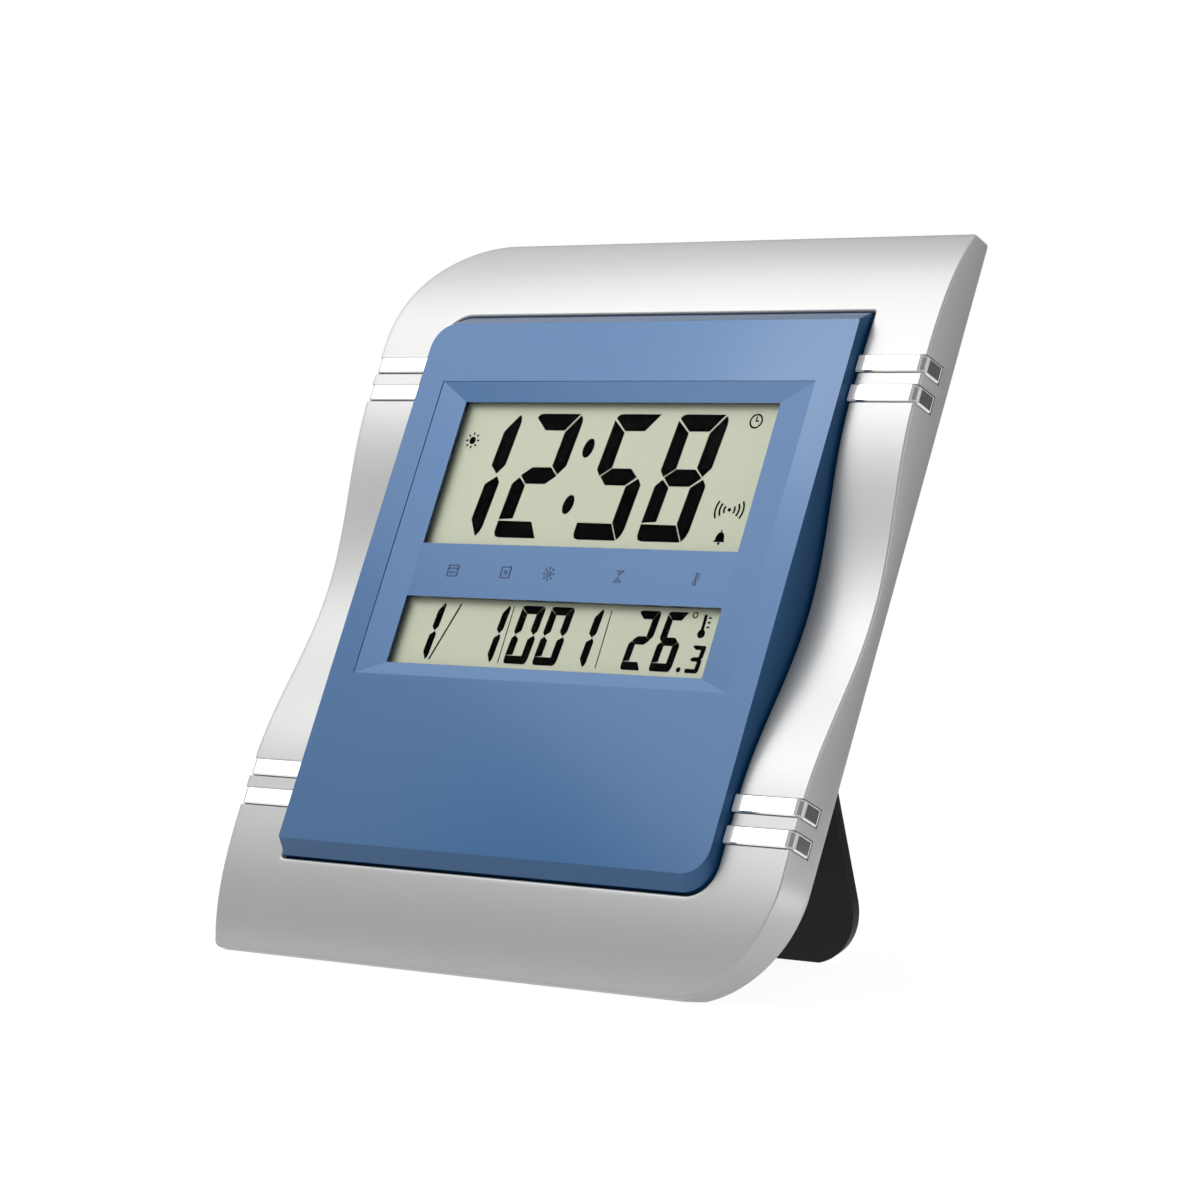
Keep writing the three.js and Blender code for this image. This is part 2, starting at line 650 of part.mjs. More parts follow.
// Front panel: a bevelled block hollow from behind, with a sloping recess round its two windows.
function frontPanel() {
  const halfX = panelHalfWidth;
  const halfY = panelHalfHeight;
  const foot = outline(halfX, halfY, PANEL_CORNER, PANEL_CORNER_SMALL);
  const face = outline(halfX - SIDE_DRAFT, halfY - BEVEL_RUN, FACE_CORNER, PANEL_CORNER_SMALL);
  const block = loft([[foot, skirtBottom], [foot, PANEL_TOP - BEVEL_DEPTH], [face, PANEL_TOP]]);
  const innerCorner = tighter(PANEL_CORNER, PANEL_WALL);
  const inner = outline(halfX - PANEL_WALL, halfY - PANEL_WALL, innerCorner, PANEL_CORNER_SMALL);
  const roof = outline(
    halfX - PANEL_WALL - SIDE_DRAFT,
    halfY - PANEL_WALL - BEVEL_RUN,
    innerCorner,
    PANEL_CORNER_SMALL,
  );
  const hollow = loft([
    [inner, skirtBottom - OVERCUT],
    [inner, PANEL_TOP - BEVEL_DEPTH - PANEL_WALL],
    [roof, panelUnderside],
  ]);
  const recessFloor = rectangle(-WINDOW_WIDTH / 2, WINDOW_WIDTH / 2, lowerWindowBottom, upperWindowTop);
  const recessHalfWidth = WINDOW_WIDTH / 2 + RECESS_BESIDE;
  const recessEdge = rectangle(
    -recessHalfWidth,
    recessHalfWidth,
    lowerWindowBottom - RECESS_BELOW,
    upperWindowTop + RECESS_ABOVE,
  );
  const recess = loft([
    [recessFloor, PANEL_TOP - RECESS_DEPTH],
    [recessEdge, PANEL_TOP - RECESS_STEP],
    [recessEdge, PANEL_TOP + OVERCUT],
  ]);
  const halfWindow = WINDOW_WIDTH / 2 - WINDOW_RIM;
  const windows = [
    [upperWindowBottom, upperWindowTop - WINDOW_RIM],
    [lowerWindowBottom + WINDOW_RIM, lowerWindowTop],
  ].map(([y0, y1]) => box(-halfWindow, halfWindow, y0, y1, panelUnderside - OVERCUT, PANEL_TOP));
  const lugs = panelScrewPlaces.map(([, x, y]) => {
    const inside = Math.sign(x) * (halfX - PANEL_WALL / 2);
    const outside = Math.sign(x) * (openingHalfWidth + LUG_REACH);
    const [x0, x1] = [Math.min(inside, outside), Math.max(inside, outside)];
    const y0 = y - LUG_WIDTH / 2;
    return box(x0, x1, y0, y0 + LUG_WIDTH, lugBottom, lugBottom + LUG_THICKNESS);
  });
  const posts = boardScrewPlaces.map(([, x, y]) => {
    return rodZ(x, y, BOARD_POST_RADIUS, boardTop + FIT, panelUnderside + WINDOW_SKIN / 2);
  });
  const holes = [
    ...panelScrewPlaces.map(([, x, y]) => rodZ(x, y, holeRadius, 0, PANEL_TOP - BEVEL_DEPTH)),
    ...boardScrewPlaces.map(([, x, y]) => rodZ(x, y, holeRadius, 0, panelUnderside - POST_ROOF)),
  ];
  const shell = cutBy(block, [hollow, recess, ...windows]);
  return cutBy(joined([shell, ...lugs, ...posts]), holes);
}

add('front_frame', frontFrame(), SILVER);
add('front_panel', frontPanel(), BLUE);
for (const [name, y, left] of stripPlaces) {
  add(name, stripBody(stripSection(y, 0, 0), y, STRIP_WIDTH, left), CHROME);
}
for (const [place, x, y] of panelScrewPlaces) {
  add(`panel_screw_${place}`, screw(x, y, lugBottom, frontHeight(y) - FRAME_WALL - FIT), STEEL);
}

// Display stack, from the clear lens back to the circuit board.
const glassY0 = windowMiddle - glassHalfHeight;
const glassY1 = windowMiddle + glassHalfHeight;

function plate(halfX, y0, y1, top, thickness) {
  return box(-halfX, halfX, y0, y1, top - thickness, top);
}

function displayHolder() {
  const innerX = glassHalfWidth + SLIDE_FIT;
  const innerY = glassHalfHeight + SLIDE_FIT;
  const outerX = holderHalfWidth;
  const outerY = holderHalfHeight;
  const low = boardTop + FIT;
  const ring = box(-outerX, outerX, windowMiddle - outerY, windowMiddle + outerY, low, lensTop);
  const bore = box(-innerX, innerX, windowMiddle - innerY, windowMiddle + innerY, low - OVERCUT, PANEL_TOP);
  const ledges = [-1, 1].map((side) => {
    const x0 = side > 0 ? innerX - LEDGE_WIDTH : -innerX - HOLDER_WALL / 2;
    const x1 = x0 + LEDGE_WIDTH + HOLDER_WALL / 2;
    return box(x0, x1, windowMiddle - innerY, windowMiddle + innerY, low, glassBottom - FIT);
  });
  return joined([ring.subtract(bore), ...ledges]);
}

const reflectorHalfWidth = glassHalfWidth + SLIDE_FIT - LEDGE_WIDTH - FIT;
const connectorReach = CONNECTOR_INSET + CONNECTOR_WIDTH / 2 + FIT;
const connectorHalfLength = glassHalfWidth - CONNECTOR_END_MARGIN;
add('display_lens', plate(glassHalfWidth, glassY0, glassY1, lensTop, LENS_THICKNESS), CLEAR);
add(
  'display_front_film',
  plate(glassHalfWidth - FIT, glassY0 + FIT, glassY1 - FIT, filmTop, FILM_THICKNESS),
  FILM,
);
add('display_glass', plate(glassHalfWidth, glassY0, glassY1, glassTop, GLASS_THICKNESS), DISPLAY);
add(
  'display_reflector',
  plate(
    reflectorHalfWidth,
    glassY0 + connectorReach,
    glassY1 - connectorReach,
    glassBottom - FIT,
    FILM_THICKNESS,
  ),
  FILM,
);
add('display_holder', displayHolder(), WHITE);
for (const [place, y] of [['upper', glassY1 - CONNECTOR_INSET], ['lower', glassY0 + CONNECTOR_INSET]]) {
  const y0 = y - CONNECTOR_WIDTH / 2;
  const strip = plate(connectorHalfLength, y0, y0 + CONNECTOR_WIDTH, glassBottom - FIT, CONNECTOR_HEIGHT);
  add(`connector_strip_${place}`, strip, RUBBER);
}

// Circuit board with the pieces soldered to its back.
function circuitBoard() {
  const y0 = windowMiddle - boardHalfHeight;
  const y1 = windowMiddle + boardHalfHeight;
  const sheet = plate(boardHalfWidth, y0, y1, boardTop, BOARD_THICKNESS);
  const holes = boardScrewPlaces.map(([, x, y]) => {
    return rodZ(x, y, holeRadius, boardBottom - OVERCUT, boardTop + OVERCUT);
  });
  return cutBy(sheet, holes);
}

const solderFace = boardBottom - FIT;

function temperatureSensor() {
  const [x] = ventAt;
  const edge = windowMiddle + boardHalfHeight;
  const head = new THREE.SphereGeometry(SENSOR_RADIUS, ROUND_SIDES / 2, ROUND_SIDES / 2);
  head.translate(x, edge + SENSOR_REACH, solderFace - SENSOR_REACH / 2);
  const legs = [-1, 1].map((side) => {
    const offset = (side * SENSOR_LEG_SPACING) / 2;
    const curve = new THREE.CatmullRomCurve3([
      new THREE.Vector3(x + offset, edge - SENSOR_RADIUS, solderFace),
      new THREE.Vector3(x + offset, edge - SENSOR_RADIUS, solderFace - SENSOR_RADIUS),
      new THREE.Vector3(x + offset, edge + SENSOR_REACH, solderFace - SENSOR_REACH / 2),
    ]);
    return wire(curve, SENSOR_LEG, SPRING_STEPS);
  });
  return joined([solid(head), ...legs]);
}

// Profile of a low dome that stands back from the board, from its crown to its rim.
function domeProfile(radius, height) {
  const points = [];
  for (let i = 0; i <= ARC_STEPS; i += 1) {
    const angle = ((Math.PI / 2) * i) / ARC_STEPS;
    const out = i === 0 ? 0 : radius * Math.sin(angle);
    const back = i === ARC_STEPS ? 0 : height * Math.cos(angle);
    points.push([out, -back]);
  }
  return points;
}

add('circuit_board', circuitBoard(), BOARD);
add(
  'controller_chip',
  turned([...domeProfile(CHIP_RADIUS, CHIP_HEIGHT), [0, 0]], ...CHIP_AT, solderFace),
  RESIN,
);
add(
  'quartz_crystal',
  rodX(
    CRYSTAL_AT[1],
    solderFace - CRYSTAL_RADIUS,
    CRYSTAL_RADIUS,
    CRYSTAL_AT[0],
    CRYSTAL_AT[0] + CRYSTAL_LENGTH,
  ),
  STEEL,
);
add(
  'smoothing_capacitor',
  rodX(
    CAPACITOR_AT[1],
    solderFace - CAPACITOR_RADIUS,
    CAPACITOR_RADIUS,
    CAPACITOR_AT[0],
    CAPACITOR_AT[0] + CAPACITOR_LENGTH,
  ),
  RESIN,
);
add('temperature_sensor', temperatureSensor(), RESIN);
for (const [place, x, y] of boardScrewPlaces) {
  add(`board_screw_${place}`, screw(x, y, boardBottom, panelUnderside - POST_ROOF - FIT), STEEL);
}

// Push buttons in their channel, over a rubber mat with a dome for each.
const buttonPlaces = BUTTON_NAMES.map((name, i) => {
  return [name, (i - (BUTTON_NAMES.length - 1) / 2) * BUTTON_PITCH];
});
const rowHalf = ((BUTTON_NAMES.length - 1) * BUTTON_PITCH + BUTTON_WIDTH) / 2;
const keyMatTop = solderFace - KEY_MAT_THICKNESS;
const stemEnd = keyMatTop - KEY_DOME_HEIGHT - FIT - BUTTON_TRAVEL;

function buttonOutline(grow) {
  const halfX = BUTTON_WIDTH / 2 + grow;
  const halfY = BUTTON_HEIGHT / 2 + grow;
  return outline(halfX, halfY, BUTTON_CORNER + grow, BUTTON_CORNER + grow, buttonY);
}

function button(x) {
  const low = channelFloor + CHANNEL_WALL + FIT;
  const high = low + BUTTON_FLANGE_THICKNESS;
  const cap = prism(buttonOutline(0), rearPlane + BUTTON_SINK, high);
  const flange = prism(buttonOutline(BUTTON_FLANGE), low, high);
  const stem = rodZ(0, buttonY, BUTTON_STEM_RADIUS, low, stemEnd);
  return joined([cap, flange, stem]).translate([x, 0, 0]);
}

function keyMat() {
  const domes = buttonPlaces.map(([, x]) => {
    const profile = [
      [0, -KEY_DOME_HEIGHT],
      [KEY_DOME_TOP_RADIUS, -KEY_DOME_HEIGHT],
      [KEY_DOME_RADIUS, KEY_MAT_THICKNESS / 2],
      [0, KEY_MAT_THICKNESS / 2],
    ];
    return turned(profile, x, buttonY, keyMatTop);
  });
  const reach = BUTTON_HEIGHT / 2 + BUTTON_FLANGE;
  const mat = box(-rowHalf, rowHalf, buttonY - reach, buttonY + reach, keyMatTop, solderFace);
  return joined([mat, ...domes]);
}

add('key_mat', keyMat(), RUBBER);
for (const [name, x] of buttonPlaces) {
  add(`button_${name}`, button(x), GREY);
}

// Buzzer disc stuck inside the cover behind its sound holes.
const buzzerFace = rearPlane + PAN_WALL + FIT;
add(
  'buzzer_disc',
  turned(
    [
      [0, 0],
      [BUZZER_RADIUS, 0],
      [BUZZER_RADIUS, BUZZER_RIM],
      [BUZZER_CERAMIC_RADIUS, BUZZER_RIM],
      [BUZZER_CERAMIC_RADIUS, BUZZER_THICKNESS],
      [0, BUZZER_THICKNESS],
    ],
    ...buzzerAt,
    buzzerFace,
  ),
  BRASS,
);

// Rear cover: a flange inside the frame's rim and a raised pan with the stand's pocket,
// the hinge trough, the battery bay with the door's seat, and the button channel.
function panOutline(inset) {
  const half = (panTop - panBottom) / 2 - inset;
  const corner = tighter(PAN_CORNER, inset);
  return outline(panHalfWidth - inset, half, corner, corner, (panTop + panBottom) / 2);
}

const tailX = bayHalfLength - FIT;
const cellPlaces = [['upper', bayY + cellOffset, 1], ['lower', bayY - cellOffset, -1]];

function rearCover() {
  const flangeInset = FRAME_WALL + SLIDE_FIT;
  const flange = prism(
    outline(
      halfWidth - flangeInset,
      halfHeight - flangeInset,
      tighter(FRAME_CORNER, flangeInset),
      tighter(FRAME_CORNER_SMALL, flangeInset),
    ),
    flangeBottom,
    flangeTop,
  );
  const pan = loft([[panOutline(PAN_DRAFT), rearPlane], [panOutline(0), flangeTop]]);
  const hollow = loft([
    [panOutline(PAN_DRAFT + PAN_WALL), rearPlane + PAN_WALL],
    [panOutline(PAN_WALL), flangeTop + OVERCUT],
  ]);
  const blockHalf = pocketHalfWidth + pocketWall;
  const pocketBlock = box(
    -blockHalf,
    blockHalf,
    panBottom,
    pocketTop + PAN_WALL,
    rearPlane,
    pocketFloor + POCKET_FLOOR_WALL,
  );
  const troughBlock = box(
    -blockHalf,
    blockHalf,
    troughBottom - PAN_WALL,
    pocketTop + PAN_WALL,
    rearPlane,
    troughFloor + POCKET_FLOOR_WALL,
  );
  const seatHalf = doorHalfWidth + SLIDE_FIT;
  const seatBottom = doorBottom - DOOR_TRAVEL - SLIDE_FIT;
  const seatTop = doorTop + SLIDE_FIT;
  const seatBlock = box(
    -seatHalf - SEAT_MARGIN,
    seatHalf + SEAT_MARGIN,
    seatBottom - SEAT_MARGIN,
    seatTop + DOOR_TAB_LENGTH + SEAT_MARGIN,
    pocketFloor,
    seatFloor + SEAT_WALL,
  );
  const bayBlock = box(
    -bayHalfLength - BAY_WALL,
    bayHalfLength + BAY_WALL,
    bayY - bayHalfHeight - BAY_WALL,
    bayY + bayHalfHeight + BAY_WALL,
    seatFloor,
    bayCeiling + BAY_WALL,
  );
  const channelHalfX = rowHalf + CHANNEL_MARGIN;
  const channelBlock = box(
    -channelHalfX - PAN_WALL,
    channelHalfX + PAN_WALL,
    buttonY - channelHalfY - PAN_WALL,
    buttonY + channelHalfY + PAN_WALL,
    rearPlane,
    channelFloor + CHANNEL_WALL,
  );
  const inPan = [pocketBlock, troughBlock].map((body) => body.intersect(pan));
  const shell = joined([flange, pan]).subtract(hollow);
  const whole = joined([shell, ...inPan, seatBlock, bayBlock, channelBlock]);

  const pocket = box(-pocketHalfWidth, pocketHalfWidth, -FAR, pocketTop, -FAR, pocketFloor);
  const trough = box(-pocketHalfWidth, pocketHalfWidth, troughBottom, pocketTop, -FAR, troughFloor);
  const pivotReach = pocketHalfWidth + pocketWall + OVERCUT;
  const pivots = rodX(HINGE_Y, hingeZ, PIVOT_RADIUS + FIT, -pivotReach, pivotReach);
  const seat = box(-seatHalf, seatHalf, seatBottom, seatTop, -FAR, seatFloor);
  const bay = box(
    -bayHalfLength,
    bayHalfLength,
    bayY - bayHalfHeight,
    bayY + bayHalfHeight,
    -FAR,
    bayCeiling,
  );
  const tabSlots = [-1, 1].map((side) => {
    const half = DOOR_TAB_WIDTH / 2 + SLIDE_FIT;
    const x = side * DOOR_TAB_X;
    const low = doorInner - DOOR_TAB_THICKNESS - FIT;
    return box(x - half, x + half, doorTop, doorTop + DOOR_TAB_LENGTH + SLIDE_FIT, low, seatFloor);
  });
  const tailSlots = cellPlaces.map(([, y]) => {
    const half = CONTACT_TAIL_WIDTH / 2 + FIT;
    const thick = CONTACT_THICKNESS / 2 + FIT;
    const x1 = -bayHalfLength + OVERCUT;
    return box(x1 - BAY_WALL - 2 * OVERCUT, x1, y - half, y + half, cellZ - thick, cellZ + thick);
  });
  const channel = box(
    -channelHalfX,
    channelHalfX,
    buttonY - channelHalfY,
    buttonY + channelHalfY,
    -FAR,
    channelFloor,
  );
  const buttonHoles = buttonPlaces.map(([, x]) => {
    return prism(buttonOutline(FIT), -FAR / 2, channelFloor + CHANNEL_WALL + OVERCUT).translate([x, 0, 0]);
  });
  const soundHoles = [rodZ(...buzzerAt, SOUND_HOLE_RADIUS, -FAR / 2, buzzerFace)];
  for (let i = 0; i < SOUND_HOLES; i += 1) {
    const angle = (2 * Math.PI * i) / SOUND_HOLES;
    const x = buzzerAt[0] + SOUND_HOLE_CIRCLE * Math.cos(angle);
    const y = buzzerAt[1] + SOUND_HOLE_CIRCLE * Math.sin(angle);
    soundHoles.push(rodZ(x, y, SOUND_HOLE_RADIUS, -FAR / 2, buzzerFace));
  }
  const vents = [];
  for (let i = 0; i < VENTS; i += 1) {
    const y0 = ventAt[1] + (i - (VENTS - 1) / 2) * VENT_PITCH - VENT_HEIGHT / 2;
    const x0 = ventAt[0] - VENT_WIDTH / 2;
    vents.push(box(x0, x0 + VENT_WIDTH, y0, y0 + VENT_HEIGHT, -FAR / 2, buzzerFace));
  }
  const screwHoles = coverScrewPlaces.map(([, x, y]) => rodZ(x, y, holeRadius, 0, flangeTop + OVERCUT));
  return cutBy(whole, [
    pocket,
    trough,
    pivots,
    seat,
    bay,
    ...tabSlots,
    ...tailSlots,
    channel,
    ...buttonHoles,
    ...soundHoles,
    ...vents,
    ...screwHoles,
  ]);
}

add('rear_cover', rearCover(), BLACK);
for (const [place, x, y] of coverScrewPlaces) {
  add(`cover_screw_${place}`, screw(x, y, flangeBottom, frontHeight(y) - FRAME_WALL - FIT), STEEL);
}

// Battery door: a flat plate with two tabs under the seat's lip and finger grooves outside.
function batteryDoor() {
  const lid = box(-doorHalfWidth, doorHalfWidth, doorBottom, doorTop, pocketFloor, doorInner);
  const tabs = [-1, 1].map((side) => {
    const x0 = side * DOOR_TAB_X - DOOR_TAB_WIDTH / 2;
    const y0 = doorTop - DOOR_TAB_LENGTH;
    const low = doorInner - DOOR_TAB_THICKNESS;
    return box(x0, x0 + DOOR_TAB_WIDTH, y0, doorTop + DOOR_TAB_LENGTH, low, doorInner);
  });
  const grooves = [];
  for (let i = 1; i <= DOOR_GRIPS; i += 1) {
    const y0 = doorTop - DOOR_TAB_LENGTH - 2 * i * DOOR_GRIP_HEIGHT;
    const x1 = DOOR_GRIP_WIDTH / 2;
    grooves.push(box(-x1, x1, y0, y0 + DOOR_GRIP_HEIGHT, -FAR / 2, pocketFloor + DOOR_GRIP_DEPTH));
  }
  return cutBy(joined([lid, ...tabs]), grooves);
}

add('battery_door', batteryDoor(), BLACK);

// Cells lie side by side and point opposite ways, each between a spring and a plate.
function cell(y, direction) {
  const start = -direction * (bayHalfLength - CONTACT_THICKNESS - SPRING_LENGTH - 2 * FIT);
  const shoulder = start + direction * (CELL_LENGTH - CELL_NUB_LENGTH);
  const tip = start + direction * CELL_LENGTH;
  const body = rodX(y, cellZ, CELL_RADIUS, Math.min(start, shoulder), Math.max(start, shoulder));
  const nubStart = shoulder - direction * CELL_NUB_LENGTH;
  const nub = rodX(y, cellZ, CELL_NUB_RADIUS, Math.min(nubStart, tip), Math.max(nubStart, tip));
  return body.add(nub);
}

// A spring's helix from its plate towards the cell it presses.
function springCurve(y, direction) {
  const points = [];
  const steps = SPRING_TURNS * SPRING_STEPS;
  const base = -direction * (bayHalfLength - FIT - CONTACT_THICKNESS / 2);
  const reach = SPRING_LENGTH + CONTACT_THICKNESS / 2 - SPRING_WIRE / 2;
  for (let i = 0; i <= steps; i += 1) {
    const angle = (2 * Math.PI * i) / SPRING_STEPS;
    const x = base + (direction * reach * i) / steps;
    points.push(new THREE.Vector3(
      x,
      y + SPRING_RADIUS * Math.cos(angle),
      cellZ + SPRING_RADIUS * Math.sin(angle),
    ));
  }
  return new THREE.CatmullRomCurve3(points);
}

// Least gap between one turn of a spring and the next.
function springGap(curve) {
  const points = curve.getPoints(SPRING_TURNS * SPRING_STEPS * 4);
  const halfTurn = SPRING_STEPS * 2;
  let least = Infinity;
  points.forEach((point, i) => {
    points.slice(i + halfTurn).forEach((other) => {
      least = Math.min(least, point.distanceTo(other));
    });
  });
  return least - SPRING_WIRE;
}

function contactPlate(side, y0, y1) {
  const x0 = side > 0 ? tailX - CONTACT_THICKNESS : -tailX;
  const half = CONTACT_SIZE / 2;
  return box(x0, x0 + CONTACT_THICKNESS, y0 - half, y1 + half, cellZ - half, cellZ + half);
}

function contactTail(y) {
  const half = CONTACT_TAIL_WIDTH / 2;
  const thick = CONTACT_THICKNESS / 2;
  const x0 = -bayHalfLength - BAY_WALL - CONTACT_TAIL_LENGTH;
  return box(x0, -tailX + CONTACT_THICKNESS / 2, y - half, y + half, cellZ - thick, cellZ + thick);
}

function spring(y, direction) {
  const curve = springCurve(y, direction);
  return wire(curve, SPRING_WIRE / 2, SPRING_TURNS * SPRING_STEPS);
}

const [[, upperY], [, lowerY]] = cellPlaces;
for (const [place, y, direction] of cellPlaces) {
  add(`battery_cell_${place}`, cell(y, direction), CELL_WRAP);
}
add(
  'contact_negative',
  joined([contactPlate(-1, upperY, upperY), contactTail(upperY), spring(upperY, 1)]),
  STEEL,
);
add('contact_positive', joined([contactPlate(-1, lowerY, lowerY), contactTail(lowerY)]), STEEL);
add('contact_link', joined([contactPlate(1, lowerY, upperY), spring(lowerY, -1)]), STEEL);
console.log(`least gap between spring turns ${springGap(springCurve(upperY, 1)).toFixed(2)} mm`);

// Leads from the battery contacts and the buzzer to the circuit board.
function lead(points) {
  const curve = new THREE.CatmullRomCurve3(points.map((point) => new THREE.Vector3(...point)));
  return wire(curve, LEAD_RADIUS, LEAD_STEPS);
}

const leadEnd = solderFace - FIT;
const leadLow = leadEnd - LEAD_DROP;

function batteryLead(y, stub, swing) {
  const startX = -bayHalfLength - BAY_WALL - CONTACT_TAIL_LENGTH - FIT;
  const padX = startX - swing;
  const padY = windowMiddle - boardHalfHeight + LEAD_PAD_INSET;
  return lead([
    [startX, y, cellZ],
    [startX - stub, y, cellZ],
    [padX + LEAD_BEND / 3, y + LEAD_BEND, cellZ - LEAD_RADIUS],
    [padX, y + 2 * LEAD_BEND, leadLow],
    [padX, padY - LEAD_BEND, leadLow],
    [padX, padY - LEAD_RADIUS, leadEnd - LEAD_BEND / 2],
    [padX, padY, leadEnd],
  ]);
}

function buzzerLead(x) {
  const startY = buzzerY - BUZZER_LEAD_START;
  const startZ = buzzerFace + BUZZER_THICKNESS + FIT + LEAD_RADIUS;
  const padY = windowMiddle + boardHalfHeight - BUZZER_PAD_INSET;
  return lead([
    [x, startY, startZ],
    [x, startY - LEAD_BEND / 2, startZ + LEAD_RADIUS],
    [x, padY + LEAD_BEND / 2, leadLow],
    [x, padY + LEAD_RADIUS, leadEnd - LEAD_BEND / 3],
    [x, padY, leadEnd],
  ]);
}

add('battery_lead_black', batteryLead(upperY, BLACK_LEAD_STUB, BLACK_LEAD_SWING), RESIN);
add('battery_lead_red', batteryLead(lowerY, RED_LEAD_STUB, RED_LEAD_SWING), RED);
add('buzzer_lead_black', buzzerLead(buzzerAt[0] - BUZZER_LEAD_OFFSET), RESIN);
add('buzzer_lead_red', buzzerLead(buzzerAt[0] + BUZZER_LEAD_OFFSET), RED);

// Stand: a wide flap with rounded foot corners, a barrel with two pivots, and a heel past the axis
// that meets the trough's floor when the stand is fully open.
function stand() {
  const half = standHalfWidth;
  const flap = new THREE.Shape();
  flap.moveTo(half, HEEL);
  flap.lineTo(-half, HEEL);
  flap.absarc(-half + STAND_CORNER, -legLength + STAND_CORNER, STAND_CORNER, Math.PI, 1.5 * Math.PI);
  flap.absarc(half - STAND_CORNER, -legLength + STAND_CORNER, STAND_CORNER, 1.5 * Math.PI, 2 * Math.PI);
  flap.closePath();
  const top = standTop - hingeZ;
  const sheet = prism(flap, top - STAND_THICKNESS, top, 4 * ARC_STEPS);
  const barrel = rodX(0, 0, BARREL_RADIUS, -half, half);
  const pivots = rodX(0, 0, PIVOT_RADIUS, -half - PIVOT_LENGTH, half + PIVOT_LENGTH);
  const table = new THREE.BoxGeometry(FAR, FAR, FAR);
  table.translate(0, -hingeHeight - FAR / 2, 0);
  table.rotateX(-legTilt);
  return joined([sheet, barrel, pivots]).subtract(solid(table));
}

const standPivot = new THREE.Group();
standPivot.position.set(0, HINGE_Y, hingeZ);
standPivot.rotation.x = opening;
clock.add(standPivot);
add('stand', stand(), BLACK, standPivot);

// The clock leans back, and its frame's origin goes to the middle of its footprint on the table.
clock.rotation.x = Math.PI / 2 - lean;
clock.updateMatrixWorld(true);
const extent = new THREE.Box3().setFromObject(clock, true);
const middle = extent.getCenter(new THREE.Vector3());
clock.position.set(-middle.x, -middle.y, -extent.min.z);

export default clock;
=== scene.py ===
import math

import bmesh
import bpy
from mathutils import Matrix, Quaternion, Vector


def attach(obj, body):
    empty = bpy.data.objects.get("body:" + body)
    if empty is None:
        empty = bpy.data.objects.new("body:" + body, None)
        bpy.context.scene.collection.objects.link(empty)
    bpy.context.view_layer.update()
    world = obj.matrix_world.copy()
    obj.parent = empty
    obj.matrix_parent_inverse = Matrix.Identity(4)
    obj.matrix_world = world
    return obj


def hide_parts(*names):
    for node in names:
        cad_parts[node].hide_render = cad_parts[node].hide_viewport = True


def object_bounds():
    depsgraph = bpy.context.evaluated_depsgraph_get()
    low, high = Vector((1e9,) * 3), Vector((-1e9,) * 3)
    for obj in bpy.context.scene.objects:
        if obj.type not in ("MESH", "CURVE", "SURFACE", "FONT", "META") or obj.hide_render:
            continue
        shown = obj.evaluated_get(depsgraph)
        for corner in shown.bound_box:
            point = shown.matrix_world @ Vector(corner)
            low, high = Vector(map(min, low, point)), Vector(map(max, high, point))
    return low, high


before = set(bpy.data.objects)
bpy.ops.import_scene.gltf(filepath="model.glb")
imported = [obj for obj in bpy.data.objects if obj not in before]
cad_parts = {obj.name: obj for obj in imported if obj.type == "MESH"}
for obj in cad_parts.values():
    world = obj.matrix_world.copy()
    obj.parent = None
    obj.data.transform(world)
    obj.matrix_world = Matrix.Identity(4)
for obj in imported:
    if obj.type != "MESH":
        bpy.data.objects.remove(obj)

solids_box = [list(corner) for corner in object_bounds()]
collection = bpy.context.scene.collection


# Front frame. A thin moulded shell of hard plastic under satin silver lacquer. Its front rolls like a
# wave between two crests, its edges are softly rounded, and the strips lie in shallow grooves across it.
# The clock is drawn flat in millimetres, Y up the face and Z out of it, and then leaned onto the table.
LEAN_BACK = 25.0
STANDING_PLACE = (0.0, 0.0026736, 0.098998)
LEANED = (
    Matrix.Translation(STANDING_PLACE)
    @ Matrix.Rotation(math.radians(90.0 - LEAN_BACK), 4, "X")
    @ Matrix.Scale(0.001, 4)
)
# Half the width, half the height, the radius of the two round corners and that of the two tight ones.
FRAME_EDGE = (99.0, 110.5, 33.0, 1.5)
FRAME_OPENING = (77.3, 84.5, 9.3, 0.7)
FRAME_WALL = 2.0
FRAME_OUTER_ROUND = 0.5
FRAME_INNER_ROUND = 0.8
FRAME_ROUND_STEPS = 5
FRAME_FRONT_STEPS = 22
FRAME_CREASE = 40.0
FRAME_SIDE_LOW = 2.0
REAR_OUTER_ROUND, REAR_OUTER_MIDDLE = 0.35, 0.1
REAR_INNER_ROUND = 0.2
TIGHTEST_CORNER = 0.3
STRIP_PLACES = (68.475, 59.725, -58.325, -67.075)
STRIP_GROOVE = (-2.85, 2.6)
STRIP_GROOVE_DEPTH = 0.8
STRIP_GROOVE_LOW = 4.9
GROOVE_WALL = 0.01
GROOVE_CLEAR = 0.2
STRAIGHT_SIDE = 72.0
SIDE_STEP = 1.5


def between(a, b, share):
    return a + (b - a) * share


